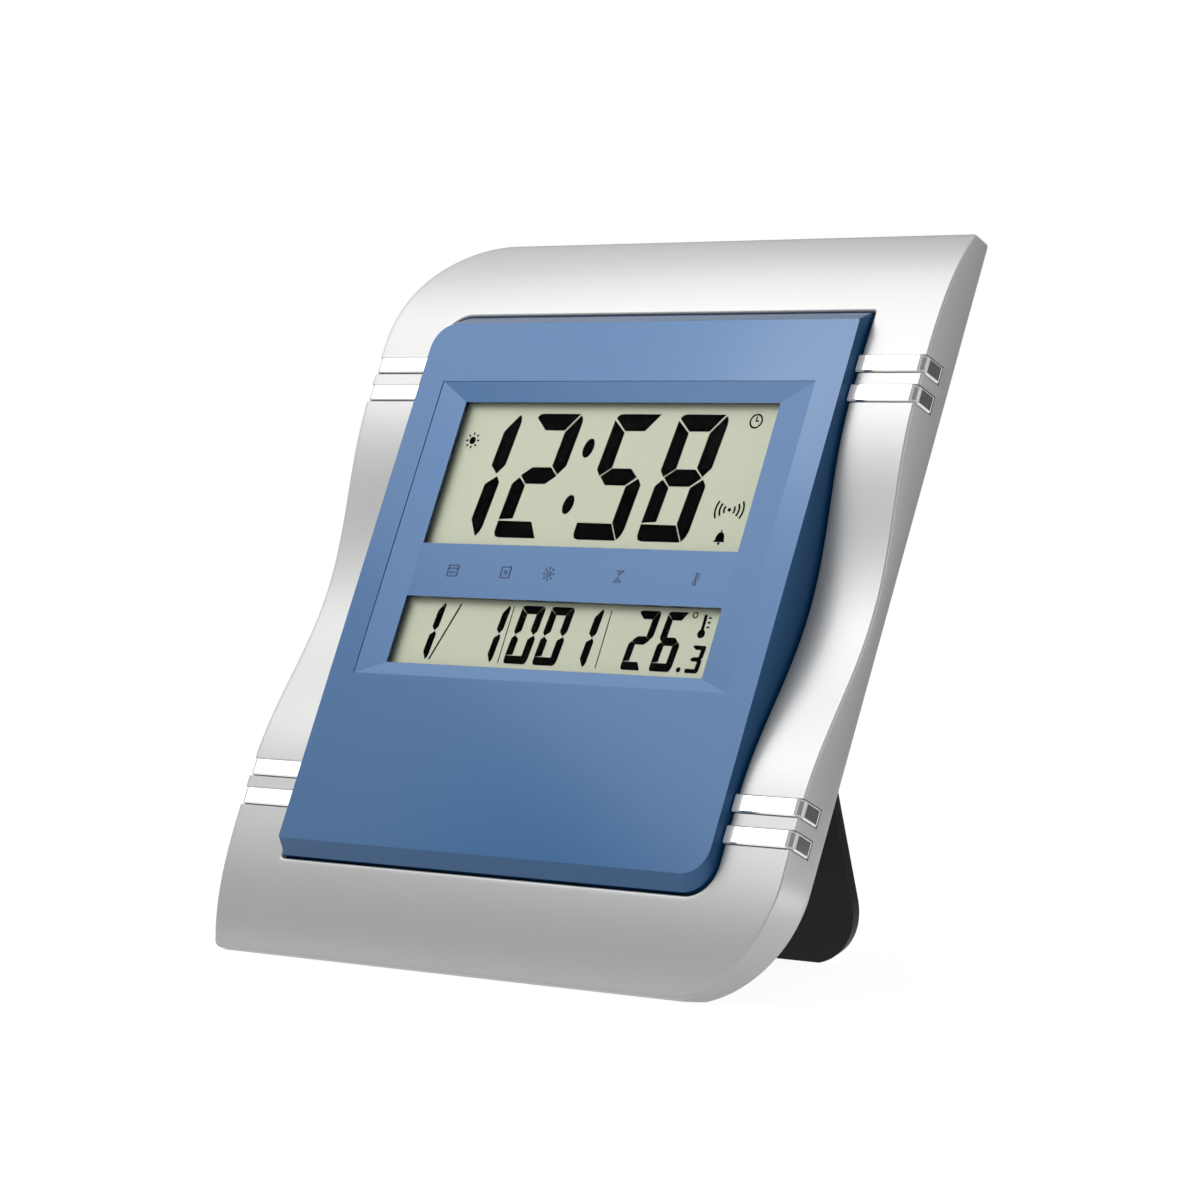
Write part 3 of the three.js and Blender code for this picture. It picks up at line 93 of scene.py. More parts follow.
def edge_point(edge, grow, span, share):
    """A point on one of the twelve spans of a rounded edge, grown outward."""
    half_x, half_y = edge[0] + grow, edge[1] + grow
    large, small = (max(radius + grow, TIGHTEST_CORNER) for radius in edge[2:])
    arcs = {
        3: (half_x - small, half_y - small, small, 0.0),
        5: (large - half_x, half_y - large, large, 90.0),
        9: (small - half_x, small - half_y, small, 180.0),
        11: (half_x - large, large - half_y, large, 270.0),
    }
    if span in arcs:
        x, y, radius, start = arcs[span]
        turn = math.radians(start + 90.0 * share)
        return x + radius * math.cos(turn), y + radius * math.sin(turn)
    return {
        0: (half_x, between(large - half_y, -STRAIGHT_SIDE, share)),
        1: (half_x, between(-STRAIGHT_SIDE, STRAIGHT_SIDE, share)),
        2: (half_x, between(STRAIGHT_SIDE, half_y - small, share)),
        4: (between(half_x - small, large - half_x, share), half_y),
        6: (-half_x, between(half_y - large, STRAIGHT_SIDE, share)),
        7: (-half_x, between(STRAIGHT_SIDE, -STRAIGHT_SIDE, share)),
        8: (-half_x, between(-STRAIGHT_SIDE, small - half_y, share)),
        10: (between(small - half_x, half_x - large, share), -half_y),
    }[span]


def in_groove(y):
    return any(STRIP_GROOVE[0] < y - place < STRIP_GROOVE[1] for place in STRIP_PLACES)


def side_shares():
    """Shares along a straight side, close together at each groove's wall."""
    sides = [place + side for place in STRIP_PLACES for side in STRIP_GROOVE]
    steps = round(2 * STRAIGHT_SIDE / SIDE_STEP)
    heights = {-STRAIGHT_SIDE + SIDE_STEP * i for i in range(steps + 1)}
    heights = {y for y in heights if min(abs(y - side) for side in sides) > GROOVE_CLEAR}
    heights.update(side + nudge for side in sides for nudge in (-GROOVE_WALL, GROOVE_WALL))
    return [(y + STRAIGHT_SIDE) / (2 * STRAIGHT_SIDE) for y in sorted(heights)][:-1]


def frame_stations():
    """Every station round the frame: its span, and its share along that span."""
    counts = {0: 4, 2: 16, 3: 8, 4: 70, 5: 28, 6: 4, 8: 16, 9: 8, 10: 70, 11: 28}
    stations = []
    for span in range(12):
        if span == 1:
            stations += [(span, share) for share in side_shares()]
        elif span == 7:
            stations += [(span, 1.0 - share) for share in reversed(side_shares() + [1.0])][:-1]
        else:
            stations += [(span, i / counts[span]) for i in range(counts[span])]
    return stations


def frame_section(span, share):
    """Points round the shell's wall at one station: X, Y, Z, and 1 where Z counts from the front."""
    level = edge_point(FRAME_EDGE, 0.0, span, share)[1]
    sunk = span in (1, 7) and in_groove(level)
    depth = STRIP_GROOVE_DEPTH if sunk else 0.0
    section = []

    def opening(grow, z):
        section.append((*edge_point(FRAME_OPENING, grow, span, share), z, 1.0))

    def outside(inset, z, rolls):
        section.append((*edge_point(FRAME_EDGE, -inset, span, share), z, rolls))

    opening(0.0, -FRAME_WALL)
    for i in range(FRAME_ROUND_STEPS + 1):
        turn = math.radians(90.0 * i / FRAME_ROUND_STEPS)
        drop = FRAME_INNER_ROUND * (1 - math.sin(turn))
        opening(FRAME_INNER_ROUND * (1 - math.cos(turn)), -drop - depth)
    inner = edge_point(FRAME_OPENING, FRAME_INNER_ROUND, span, share)
    outer = edge_point(FRAME_EDGE, -FRAME_OUTER_ROUND - depth, span, share)
    for i in range(1, FRAME_FRONT_STEPS):
        step = i / FRAME_FRONT_STEPS
        x, y = (between(a, b, step) for a, b in zip(inner, outer))
        section.append((x, y, -depth, 1.0))
    for i in range(FRAME_ROUND_STEPS + 1):
        turn = math.radians(90.0 - 90.0 * i / FRAME_ROUND_STEPS)
        drop = FRAME_OUTER_ROUND * (1 - math.sin(turn)) + depth
        outside(FRAME_OUTER_ROUND * (1 - math.cos(turn)) + depth, -drop, 1.0)
    low = STRIP_GROOVE_LOW if sunk else FRAME_SIDE_LOW
    outside(depth, low + GROOVE_WALL, 0.0)
    outside(0.0, low, 0.0)
    outside(0.0, REAR_OUTER_ROUND, 0.0)
    outside(REAR_OUTER_MIDDLE, REAR_OUTER_MIDDLE, 0.0)
    outside(REAR_OUTER_ROUND, 0.0, 0.0)
    outside(FRAME_WALL - REAR_INNER_ROUND, 0.0, 0.0)
    outside(FRAME_WALL, REAR_INNER_ROUND, 0.0)
    outside(FRAME_WALL, -FRAME_WALL, 1.0)
    return section


sections = [frame_section(*station) for station in frame_stations()]
ring = len(sections[0])
frame_flat = bpy.data.meshes.new("silver_frame_flat")
frame_flat.from_pydata(
    [point[:3] for section in sections for point in section],
    [],
    [
        (i * ring + j, (i + 1) % len(sections) * ring + j,
         (i + 1) % len(sections) * ring + (j + 1) % ring, i * ring + (j + 1) % ring)
        for i in range(len(sections))
        for j in range(ring)
    ],
)
rolls = frame_flat.attributes.new("rolls", "FLOAT", "POINT")
rolls.data.foreach_set("value", [point[3] for section in sections for point in section])


def math_node(tree, operation, *inputs):
    node = tree.nodes.new("ShaderNodeMath")
    node.operation = operation
    for socket, value in zip(node.inputs, inputs):
        if isinstance(value, bpy.types.NodeSocket):
            tree.links.new(value, socket)
        else:
            socket.default_value = value
    return node.outputs[0]


def geometry_tree(name, sizes):
    tree = bpy.data.node_groups.new(name, "GeometryNodeTree")
    tree.interface.new_socket("Geometry", in_out="INPUT", socket_type="NodeSocketGeometry")
    for size, value in sizes.items():
        socket = tree.interface.new_socket(size, in_out="INPUT", socket_type="NodeSocketFloat")
        socket.default_value = value
    tree.interface.new_socket("Material", in_out="INPUT", socket_type="NodeSocketMaterial")
    tree.interface.new_socket("Geometry", in_out="OUTPUT", socket_type="NodeSocketGeometry")
    return tree, tree.nodes.new("NodeGroupInput").outputs


def close_tree(tree, geometry, given):
    realize = tree.nodes.new("GeometryNodeRealizeInstances")
    coat = tree.nodes.new("GeometryNodeSetMaterial")
    out = tree.nodes.new("NodeGroupOutput")
    tree.links.new(geometry, realize.inputs[0])
    tree.links.new(realize.outputs[0], coat.inputs["Geometry"])
    tree.links.new(given["Material"], coat.inputs["Material"])
    tree.links.new(coat.outputs[0], out.inputs[0])


def plain_mesh(carrier):
    """The mesh of an object with its modifiers applied. The object itself goes."""
    finished = carrier.evaluated_get(bpy.context.evaluated_depsgraph_get())
    mesh = bpy.data.meshes.new_from_object(finished)
    bpy.data.objects.remove(carrier)
    return mesh


def grown_mesh(base, tree, **values):
    """The plain mesh that a tree makes of a base mesh."""
    carrier = bpy.data.objects.new(base.name, base)
    collection.objects.link(carrier)
    modifier = carrier.modifiers.new(tree.name, "NODES")
    modifier.node_group = tree
    for item in tree.interface.items_tree:
        if item.in_out == "INPUT" and item.name in values:
            modifier[item.identifier] = values[item.name]
    return plain_mesh(carrier)


roll_tree, given = geometry_tree(
    "frame_roll",
    {"Crest": 13.2, "Trough": 5.6, "Edge": 5.9, "Crest Place": 58.0, "Half Height": 110.5, "Fall": 3.6},
)
position = roll_tree.nodes.new("GeometryNodeInputPosition")
apart = roll_tree.nodes.new("ShaderNodeSeparateXYZ")
roll_tree.links.new(position.outputs[0], apart.inputs[0])
away = math_node(roll_tree, "ABSOLUTE", apart.outputs["Y"])
share_up = math_node(roll_tree, "DIVIDE", away, given["Crest Place"])
turn = math_node(roll_tree, "MULTIPLY", share_up, math.pi)
swell = math_node(roll_tree, "MULTIPLY_ADD", math_node(roll_tree, "COSINE", turn), -0.5, 0.5)
rise = math_node(roll_tree, "SUBTRACT", given["Crest"], given["Trough"])
middle_height = math_node(roll_tree, "MULTIPLY_ADD", swell, rise, given["Trough"])
past = math_node(roll_tree, "SUBTRACT", away, given["Crest Place"])
reach = math_node(roll_tree, "SUBTRACT", given["Half Height"], given["Crest Place"])
share_past = math_node(roll_tree, "MAXIMUM", math_node(roll_tree, "DIVIDE", past, reach), 0.0)
fall = math_node(roll_tree, "SUBTRACT", given["Crest"], given["Edge"])
bend = math_node(roll_tree, "POWER", share_past, given["Fall"])
drop_past = math_node(roll_tree, "MULTIPLY", bend, fall)
outer_height = math_node(roll_tree, "SUBTRACT", given["Crest"], drop_past)
is_past = math_node(roll_tree, "GREATER_THAN", past, 0.0)
change = math_node(roll_tree, "SUBTRACT", outer_height, middle_height)
height = math_node(roll_tree, "MULTIPLY_ADD", is_past, change, middle_height)
named = roll_tree.nodes.new("GeometryNodeInputNamedAttribute")
named.data_type = "FLOAT"
named.inputs["Name"].default_value = "rolls"
lift = roll_tree.nodes.new("ShaderNodeCombineXYZ")
rolling = math_node(roll_tree, "MULTIPLY", height, named.outputs["Attribute"])
roll_tree.links.new(rolling, lift.inputs["Z"])
set_position = roll_tree.nodes.new("GeometryNodeSetPosition")
roll_tree.links.new(given["Geometry"], set_position.inputs["Geometry"])
roll_tree.links.new(lift.outputs[0], set_position.inputs["Offset"])
close_tree(roll_tree, set_position.outputs[0], given)

# Fine grain and slow unevenness that the moulded, lacquered and printed surfaces share.
surface_grain = bpy.data.node_groups.new("surface_grain", "ShaderNodeTree")
for size, value in (("Fineness", 2500.0), ("Patch", 25.0), ("Unevenness", 0.04)):
    socket = surface_grain.interface.new_socket(size, in_out="INPUT", socket_type="NodeSocketFloat")
    socket.default_value = value
for result in ("Tone", "Height"):
    surface_grain.interface.new_socket(result, in_out="OUTPUT", socket_type="NodeSocketFloat")
grain_in = surface_grain.nodes.new("NodeGroupInput").outputs
grain_out = surface_grain.nodes.new("NodeGroupOutput").inputs
place = surface_grain.nodes.new("ShaderNodeTexCoord").outputs["Object"]
fine = surface_grain.nodes.new("ShaderNodeTexNoise")
fine.inputs["Detail"].default_value = 2.0
slow = surface_grain.nodes.new("ShaderNodeTexNoise")
slow.inputs["Detail"].default_value = 4.0
for noise, size in ((fine, "Fineness"), (slow, "Patch")):
    surface_grain.links.new(place, noise.inputs["Vector"])
    surface_grain.links.new(grain_in[size], noise.inputs["Scale"])
both = math_node(surface_grain, "ADD", slow.outputs[0], fine.outputs[0])
swing = math_node(surface_grain, "SUBTRACT", both, 1.0)
tone = math_node(surface_grain, "MULTIPLY_ADD", swing, grain_in["Unevenness"], 1.0)
surface_grain.links.new(tone, grain_out["Tone"])
surface_grain.links.new(fine.outputs[0], grain_out["Height"])


def linear(code):
    """A colour written as six hexadecimal digits, in the values that a shader takes."""
    parts = [int(code[i:i + 2], 16) / 255.0 for i in (0, 2, 4)]
    return [p / 12.92 if p <= 0.04045 else ((p + 0.055) / 1.055) ** 2.4 for p in parts] + [1.0]


GRAIN_DEPTH = 0.00003


def finish(
    name, code, roughness, metallic=0.0,
    fineness=2500.0, patch=25.0, unevenness=0.04, bump=0.1, spread=0.04,
):
    """A finish with its own colour, gloss, grain and slow unevenness."""
    material = bpy.data.materials.new(name)
    material.use_nodes = True
    tree = material.node_tree
    shader = tree.nodes["Principled BSDF"]
    grain = tree.nodes.new("ShaderNodeGroup")
    grain.node_tree = surface_grain
    grain.inputs["Fineness"].default_value = fineness
    grain.inputs["Patch"].default_value = patch
    grain.inputs["Unevenness"].default_value = unevenness
    tinted = tree.nodes.new("ShaderNodeVectorMath")
    tinted.operation = "SCALE"
    tinted.inputs[0].default_value = linear(code)[:3]
    tree.links.new(grain.outputs["Tone"], tinted.inputs["Scale"])
    tree.links.new(tinted.outputs[0], shader.inputs["Base Color"])
    dulled = math_node(tree, "MULTIPLY_ADD", grain.outputs["Height"], spread, roughness - spread / 2)
    tree.links.new(dulled, shader.inputs["Roughness"])
    shader.inputs["Metallic"].default_value = metallic
    relief = tree.nodes.new("ShaderNodeBump")
    relief.inputs["Strength"].default_value = bump
    relief.inputs["Distance"].default_value = GRAIN_DEPTH
    tree.links.new(grain.outputs["Height"], relief.inputs["Height"])
    tree.links.new(relief.outputs[0], shader.inputs["Normal"])
    return material


def shown_piece(name, mesh, body, slot, material, *stands_for):
    """A finished piece on its body, with its finish, in place of the solids it stands for."""
    mesh.name = name
    piece = bpy.data.objects.new(name, mesh)
    collection.objects.link(piece)
    mesh.materials.clear()
    mesh.materials.append(material)
    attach(piece, body)
    if stands_for:
        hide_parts(*stands_for)
    return piece


silver_lacquer = finish(
    "silver_lacquer", "C3C3C2", 0.36, metallic=0.42, fineness=5000.0, unevenness=0.03, bump=0.08
)
frame_mesh = grown_mesh(frame_flat, roll_tree, Material=silver_lacquer)
frame_mesh.transform(LEANED)
for vertex in frame_mesh.vertices:
    vertex.co.y = max(vertex.co.y, solids_box[0][1])
    vertex.co.z = max(vertex.co.z, 0.0)
frame_mesh.shade_smooth()
frame_mesh.set_sharp_from_angle(angle=math.radians(FRAME_CREASE))
shown_piece("silver_frame", frame_mesh, "clock", "frame_silver", silver_lacquer, "front_frame")


# Front panel. A hollow moulding under semi-gloss pearl blue lacquer. It stands out of the frame with
# bevelled edges, and a sloping recess leads down to two windows, whose thin walls carry painted shade.
PANEL_FACE, PANEL_FOOT, PANEL_RIM = 17.0, 12.8, 76.0
RECESS_SIDE, RECESS_LOW, RECESS_HIGH = 68.0, -30.0, 62.0
WINDOW_SIDE, WINDOW_LOW, WINDOW_HIGH = 57.2, -27.0, 58.0
WINDOW_FRONT = 16.1
WINDOW_SHADE = 0.85
WALL_STEEPNESS = 0.5
SAME_HEIGHT = 0.01
MERGED_WITHIN = 2e-6
FLAT_ANGLE, SOFT_ANGLE, CRISP_ANGLE = (math.radians(angle) for angle in (0.1, 8.0, 30.0))


def upright(point):
    """A point of the standing clock, back in the flat drawing's millimetres."""
    return LEANED.inverted() @ point


def drawn_mesh(work, name):
    """A mesh of finished work, which is then put away."""
    mesh = bpy.data.meshes.new(name)
    work.to_mesh(mesh)
    work.free()
    return mesh


def softened_copy(node, width, steps, chosen, name, crisp=lambda a, b: False):
    """A copy of a solid with the chosen edges rounded, and others left crisp."""
    work = bmesh.new()
    work.from_mesh(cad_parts[node].data)
    bmesh.ops.remove_doubles(work, verts=work.verts, dist=MERGED_WITHIN)
    bmesh.ops.dissolve_limit(
        work, angle_limit=FLAT_ANGLE, verts=work.verts, edges=work.edges, delimit={"NORMAL"}
    )
    weight = work.edges.layers.float.new("bevel_weight_edge")
    for face in work.faces:
        face.smooth = True
    for edge in work.edges:
        ends = [upright(vertex.co) for vertex in edge.verts]
        bend = edge.calc_face_angle() if len(edge.link_faces) == 2 else None
        if bend is not None and bend > SOFT_ANGLE and chosen(*ends):
            edge[weight] = 1.0
        sharp = bend is None or bend > CRISP_ANGLE
        edge.smooth = not (sharp or crisp(*ends))
    carrier = bpy.data.objects.new(name, drawn_mesh(work, name))
    collection.objects.link(carrier)
    modifier = carrier.modifiers.new("soft_edges", "BEVEL")
    modifier.limit_method = "WEIGHT"
    modifier.width = width * 0.001
    modifier.segments = steps
    modifier.harden_normals = True
    modifier.use_clamp_overlap = True
    return plain_mesh(carrier)


def lies_at(height, a, b):
    return abs(a.z - height) < SAME_HEIGHT and abs(b.z - height) < SAME_HEIGHT


def panel_edges(a, b):
    foot = lies_at(PANEL_FOOT, a, b) and max(abs(a.x), abs(a.y)) > PANEL_RIM
    return lies_at(PANEL_FACE, a, b) or foot


def recess_edges(a, b):
    level = min(a.y, b.y) > RECESS_LOW and max(a.y, b.y) < RECESS_HIGH
    return level and max(abs(a.x), abs(b.x)) < RECESS_SIDE


pearl_blue = finish(
    "pearl_blue", "18578A", 0.42, metallic=0.35, fineness=4200.0, patch=18.0, unevenness=0.05, bump=0.12
)
lacquer = pearl_blue.node_tree.nodes["Principled BSDF"].inputs
lacquer["Specular IOR Level"].default_value = 0.2
lacquer["Coat Weight"].default_value = 0.7
lacquer["Coat Roughness"].default_value = 0.16
panel_mesh = softened_copy("front_panel", 0.4, 3, panel_edges, "blue_panel", recess_edges)
face_out = (LEANED.to_3x3() @ Vector((0.0, 0.0, 1.0))).normalized()
# Painted shade: the steep walls inside both windows are marked, and there the lacquer's colour is
# darkened by WINDOW_SHADE, standing in for the shade that falls in them.
window_wall = panel_mesh.attributes.new("window_wall", "FLOAT", "FACE")
for face, value in zip(panel_mesh.polygons, window_wall.data):
    middle = upright(face.center)
    steep = abs(face.normal.dot(face_out)) < WALL_STEEPNESS and middle.z < WINDOW_FRONT
    inside = abs(middle.x) < WINDOW_SIDE and WINDOW_LOW < middle.y < WINDOW_HIGH
    value.value = float(steep and inside)
walls = pearl_blue.node_tree.nodes.new("ShaderNodeAttribute")
walls.attribute_name = "window_wall"
tint = lacquer["Base Color"].links[0].from_node.inputs["Scale"]
shaded = math_node(pearl_blue.node_tree, "MULTIPLY_ADD", walls.outputs["Fac"], -WINDOW_SHADE, 1.0)
toned = math_node(pearl_blue.node_tree, "MULTIPLY", tint.links[0].from_socket, shaded)
pearl_blue.node_tree.links.new(toned, tint)
shown_piece("blue_panel", panel_mesh, "clock", "panel_blue", pearl_blue, "front_panel")

# Marks on the bar between the windows, raised a little from the panel and lacquered with it: a page,
# a dated square, a sun, a sand glass and a thermometer.
MARK_ROW = 3.1
MARK_LOW, MARK_HIGH = 16.0, 16.22
MARK_LINE = 0.35


def thick_line(x0, y0, x1, y1, width):
    along = Vector((x1 - x0, y1 - y0)).normalized() * (width / 2)
    return [
        (x0 - along.y, y0 + along.x), (x0 + along.y, y0 - along.x),
        (x1 + along.y, y1 - along.x), (x1 - along.y, y1 + along.x),
    ]


def round_spot(x, y, radius, steps=20, stretch=1.0, slant=0.0):
    points = []
    for i in range(steps):
        turn = 2 * math.pi * i / steps
        up = radius * stretch * math.sin(turn)
        points.append((x + radius * math.cos(turn) + slant * up, y + up))
    return points


def arc_band(x, y, inner, outer, start, end, steps=10):
    turns = [math.radians(start + (end - start) * i / steps) for i in range(steps + 1)]
    out = [(x + outer * math.cos(t), y + outer * math.sin(t)) for t in turns]
    back = [(x + inner * math.cos(t), y + inner * math.sin(t)) for t in reversed(turns)]
    return out + back


def ring_band(x, y, inner, outer):
    return [arc_band(x, y, inner, outer, 0, 180), arc_band(x, y, inner, outer, 180, 360)]


def sun_mark(x, y, size):
    rays = []
    for i in range(8):
        turn = math.pi * i / 4
        c, s = math.cos(turn), math.sin(turn)
        near = 0.68 * size
        rays.append(thick_line(x + near * c, y + near * s, x + size * c, y + size * s, 0.2 * size))
    return [round_spot(x, y, 0.46 * size)] + rays


def box_mark(x, y, half_x, half_y, line):
    left, right, low, high = x - half_x, x + half_x, y - half_y, y + half_y
    return [
        thick_line(left, high - line / 2, right, high - line / 2, line),
        thick_line(left, low + line / 2, right, low + line / 2, line),
        thick_line(left + line / 2, low + line, left + line / 2, high - line, line),
        thick_line(right - line / 2, low + line, right - line / 2, high - line, line),
    ]


def thermometer_mark(x, y, size):
    bulb = round_spot(x, y - 0.62 * size, 0.38 * size)
    tube = thick_line(x, y - 0.3 * size, x, y + size, 0.3 * size)
    near, far = x + 0.34 * size, x + 0.62 * size
    levels = [y + rise * size for rise in (0.75, 0.35, -0.05)]
    return [bulb, tube] + [thick_line(near, level, far, level, 0.14 * size) for level in levels]


def printed_mesh(name, outlines, low, high):
    """Flat marks, each a closed block between two heights of the flat drawing."""
    work = bmesh.new()
    for outline in outlines:
        area = sum(a[0] * b[1] - b[0] * a[1] for a, b in zip(outline, outline[1:] + outline[:1]))
        points = outline if area > 0 else outline[::-1]
        bottom = [work.verts.new((x, y, low)) for x, y in points]
        top = [work.verts.new((x, y, high)) for x, y in points]
        work.faces.new(top)
        work.faces.new(bottom[::-1])
        for i, vertex in enumerate(bottom):
            following = (i + 1) % len(bottom)
            work.faces.new((vertex, bottom[following], top[following], top[i]))
    mesh = drawn_mesh(work, name)
    mesh.transform(LEANED)
    return mesh


bar_marks = (
    box_mark(-42.5, MARK_ROW, 2.0, 1.8, MARK_LINE)
    + [thick_line(-44.0, MARK_ROW + 0.7, -41.0, MARK_ROW + 0.7, 0.4)]
    + [round_spot(-43.4 + 0.9 * i, MARK_ROW - 0.5, 0.28, 10) for i in range(3)]
    + box_mark(-22.8, MARK_ROW, 1.8, 1.8, MARK_LINE)
    + [round_spot(-22.8, MARK_ROW, 0.75)]
    + sun_mark(-7.0, MARK_ROW, 2.1)
    + [
        [(16.6, MARK_ROW + 1.8), (19.8, MARK_ROW + 1.8), (18.2, MARK_ROW + 0.15)],
        [(16.6, MARK_ROW - 1.8), (18.2, MARK_ROW - 0.15), (19.8, MARK_ROW - 1.8)],
    ]
    + thermometer_mark(45.0, MARK_ROW, 1.9)
)
mark_blue = finish(
    "mark_blue", "184270", 0.36, metallic=0.15, fineness=4200.0, unevenness=0.05, bump=0.12
)
marks_mesh = printed_mesh("bar_marks", bar_marks, MARK_LOW, MARK_HIGH)
shown_piece("bar_marks", marks_mesh, "clock", "panel_blue", mark_blue)


# Trim strips. Eight bright plated bars, two at each corner of the frame. Each lies in its groove, runs
# over the frame's front and folds down its side. Its narrow bevels, side rims and inner end are made
# mostly diffuse white as a painted highlight.
STRIP_TOP = 13.7
STRIP_SIDE = 99.2
STRIP_INNER = 77.0
STRIP_LOW = 5.2
STRIP_HALF = 2.5
STRIP_THICK = 1.0
STRIP_FOLD, STRIP_FOLD_BACK = 1.7, 0.414
STRIP_BEVEL = 0.4
STRIP_RIM, STRIP_RIM_DEPTH = 0.3, 0.05
STRIP_HIGHLIGHT_END = 79.8
STRIP_END = 1.2
SMALL_FACE = 3.0
HIGHLIGHT_SHARE = 0.9
strip_section = [
    (STRIP_INNER, STRIP_TOP), (STRIP_INNER, STRIP_TOP - STRIP_THICK),
    (STRIP_SIDE - STRIP_FOLD - STRIP_FOLD_BACK, STRIP_TOP - STRIP_THICK),
    (STRIP_SIDE - STRIP_THICK, STRIP_TOP - STRIP_FOLD - STRIP_FOLD_BACK),
    (STRIP_SIDE - STRIP_THICK, STRIP_LOW), (STRIP_SIDE, STRIP_LOW),
    (STRIP_SIDE, STRIP_TOP - STRIP_FOLD), (STRIP_SIDE - STRIP_FOLD, STRIP_TOP),
]
work = bmesh.new()
near = [work.verts.new((x, -STRIP_HALF, z)) for x, z in strip_section]
far = [work.verts.new((x, STRIP_HALF, z)) for x, z in strip_section]
work.faces.new(near)
work.faces.new(far[::-1])
for i, vertex in enumerate(near):
    following = (i + 1) % len(near)
    work.faces.new((vertex, far[i], far[following], near[following]))
bmesh.ops.recalc_face_normals(work, faces=work.faces)
past_end = STRIP_INNER + STRIP_THICK
outer_edges = [edge for edge in work.edges if max(vertex.co.x for vertex in edge.verts) > past_end]
bmesh.ops.bevel(
    work, geom=outer_edges, offset=STRIP_BEVEL, segments=1, affect="EDGES", clamp_overlap=True
)
# Painted highlight: faces marked here lose most of their metal and show diffuse white, standing in for
# light caught on the inner end and the rims of the side.
highlight_layer = work.faces.layers.float.new("worn_edge")
whole = work.verts[:] + work.edges[:] + work.faces[:]
bmesh.ops.bisect_plane(work, geom=whole, plane_co=(STRIP_HIGHLIGHT_END, 0.0, 0.0), plane_no=(1.0, 0.0, 0.0))
for face in work.faces:
    if face.calc_center_median().x < STRIP_HIGHLIGHT_END:
        face[highlight_layer] = 1.0


def faces_sideways(normal):
    """Whether a face is on the strip's fold or on the side below it."""
    return normal.x > 0.6 and normal.z > -0.1 and abs(normal.y) < 0.1


ends = [face for face in work.faces if faces_sideways(face.normal) and face.calc_area() > SMALL_FACE]
rims = bmesh.ops.inset_individual(work, faces=ends, thickness=STRIP_RIM, depth=-STRIP_RIM_DEPTH)
for face in rims["faces"]:
    face[highlight_layer] = 1.0
strip_mesh = drawn_mesh(work, "trim_strip")

strip_tree, given = geometry_tree(
    "strips_in_pairs", {"Middle": 63.4, "Pitch": 8.75, "Rise": 0.7, "Count": 8.0}
)
points = strip_tree.nodes.new("GeometryNodePoints")
strip_tree.links.new(given["Count"], points.inputs["Count"])
index = strip_tree.nodes.new("GeometryNodeInputIndex").outputs[0]
left = math_node(strip_tree, "GREATER_THAN", index, 3.5)
level = math_node(strip_tree, "GREATER_THAN", math_node(strip_tree, "MODULO", index, 4.0), 1.5)
inner = math_node(strip_tree, "MODULO", index, 2.0)
half = math_node(strip_tree, "SUBTRACT", inner, 0.5)
step = math_node(strip_tree, "MULTIPLY", half, given["Pitch"])
away = math_node(strip_tree, "ADD", given["Middle"], step)
upward = math_node(strip_tree, "MULTIPLY_ADD", level, 2.0, -1.0)
where = strip_tree.nodes.new("ShaderNodeCombineXYZ")
up = math_node(strip_tree, "MULTIPLY_ADD", away, upward, given["Rise"])
strip_tree.links.new(up, where.inputs["Y"])
strip_tree.links.new(where.outputs[0], points.inputs["Position"])
facing = strip_tree.nodes.new("ShaderNodeCombineXYZ")
strip_tree.links.new(math_node(strip_tree, "MULTIPLY", left, math.pi), facing.inputs["Z"])
laid = strip_tree.nodes.new("GeometryNodeInstanceOnPoints")
strip_tree.links.new(points.outputs[0], laid.inputs["Points"])
strip_tree.links.new(given["Geometry"], laid.inputs["Instance"])
strip_tree.links.new(facing.outputs[0], laid.inputs["Rotation"])
close_tree(strip_tree, laid.outputs[0], given)
bright_plate = finish(
    "bright_plate", "EAEBEC", 0.14, metallic=1.0, fineness=900.0, unevenness=0.02, bump=0.02
)
tree = bright_plate.node_tree
highlight_mask = tree.nodes.new("ShaderNodeAttribute")
highlight_mask.attribute_name = "worn_edge"
# Painted highlight: marked faces keep only a tenth of their metal, so they read as white outlines and a
# white inner end.
metallic_off_highlight = math_node(tree, "MULTIPLY_ADD", highlight_mask.outputs["Fac"], -HIGHLIGHT_SHARE, 1.0)
tree.links.new(metallic_off_highlight, tree.nodes["Principled BSDF"].inputs["Metallic"])
strips_mesh = grown_mesh(strip_mesh, strip_tree, Material=bright_plate)
# Painted highlight on the small slanting faces at the right strips' outer ends; it is taken off the left
# strips' outer ends.
for face, highlight in zip(strips_mesh.polygons, strips_mesh.attributes["worn_edge"].data):
    slanting = max(abs(part) for part in face.normal) < 0.95 and face.area < SMALL_FACE
    if slanting and face.center.x > STRIP_SIDE - STRIP_END:
        highlight.value = 1.0
    if face.center.x < STRIP_END - STRIP_SIDE:
        highlight.value = 0.0
strips_mesh.transform(LEANED)
strip_nodes = [
    f"trim_strip_{side}_{level}_{place}"
    for side in ("left", "right") for level in ("upper", "lower") for place in ("outer", "inner")
]
shown_piece("trim_strips", strips_mesh, "clock", "trim_bright", bright_plate, *strip_nodes)


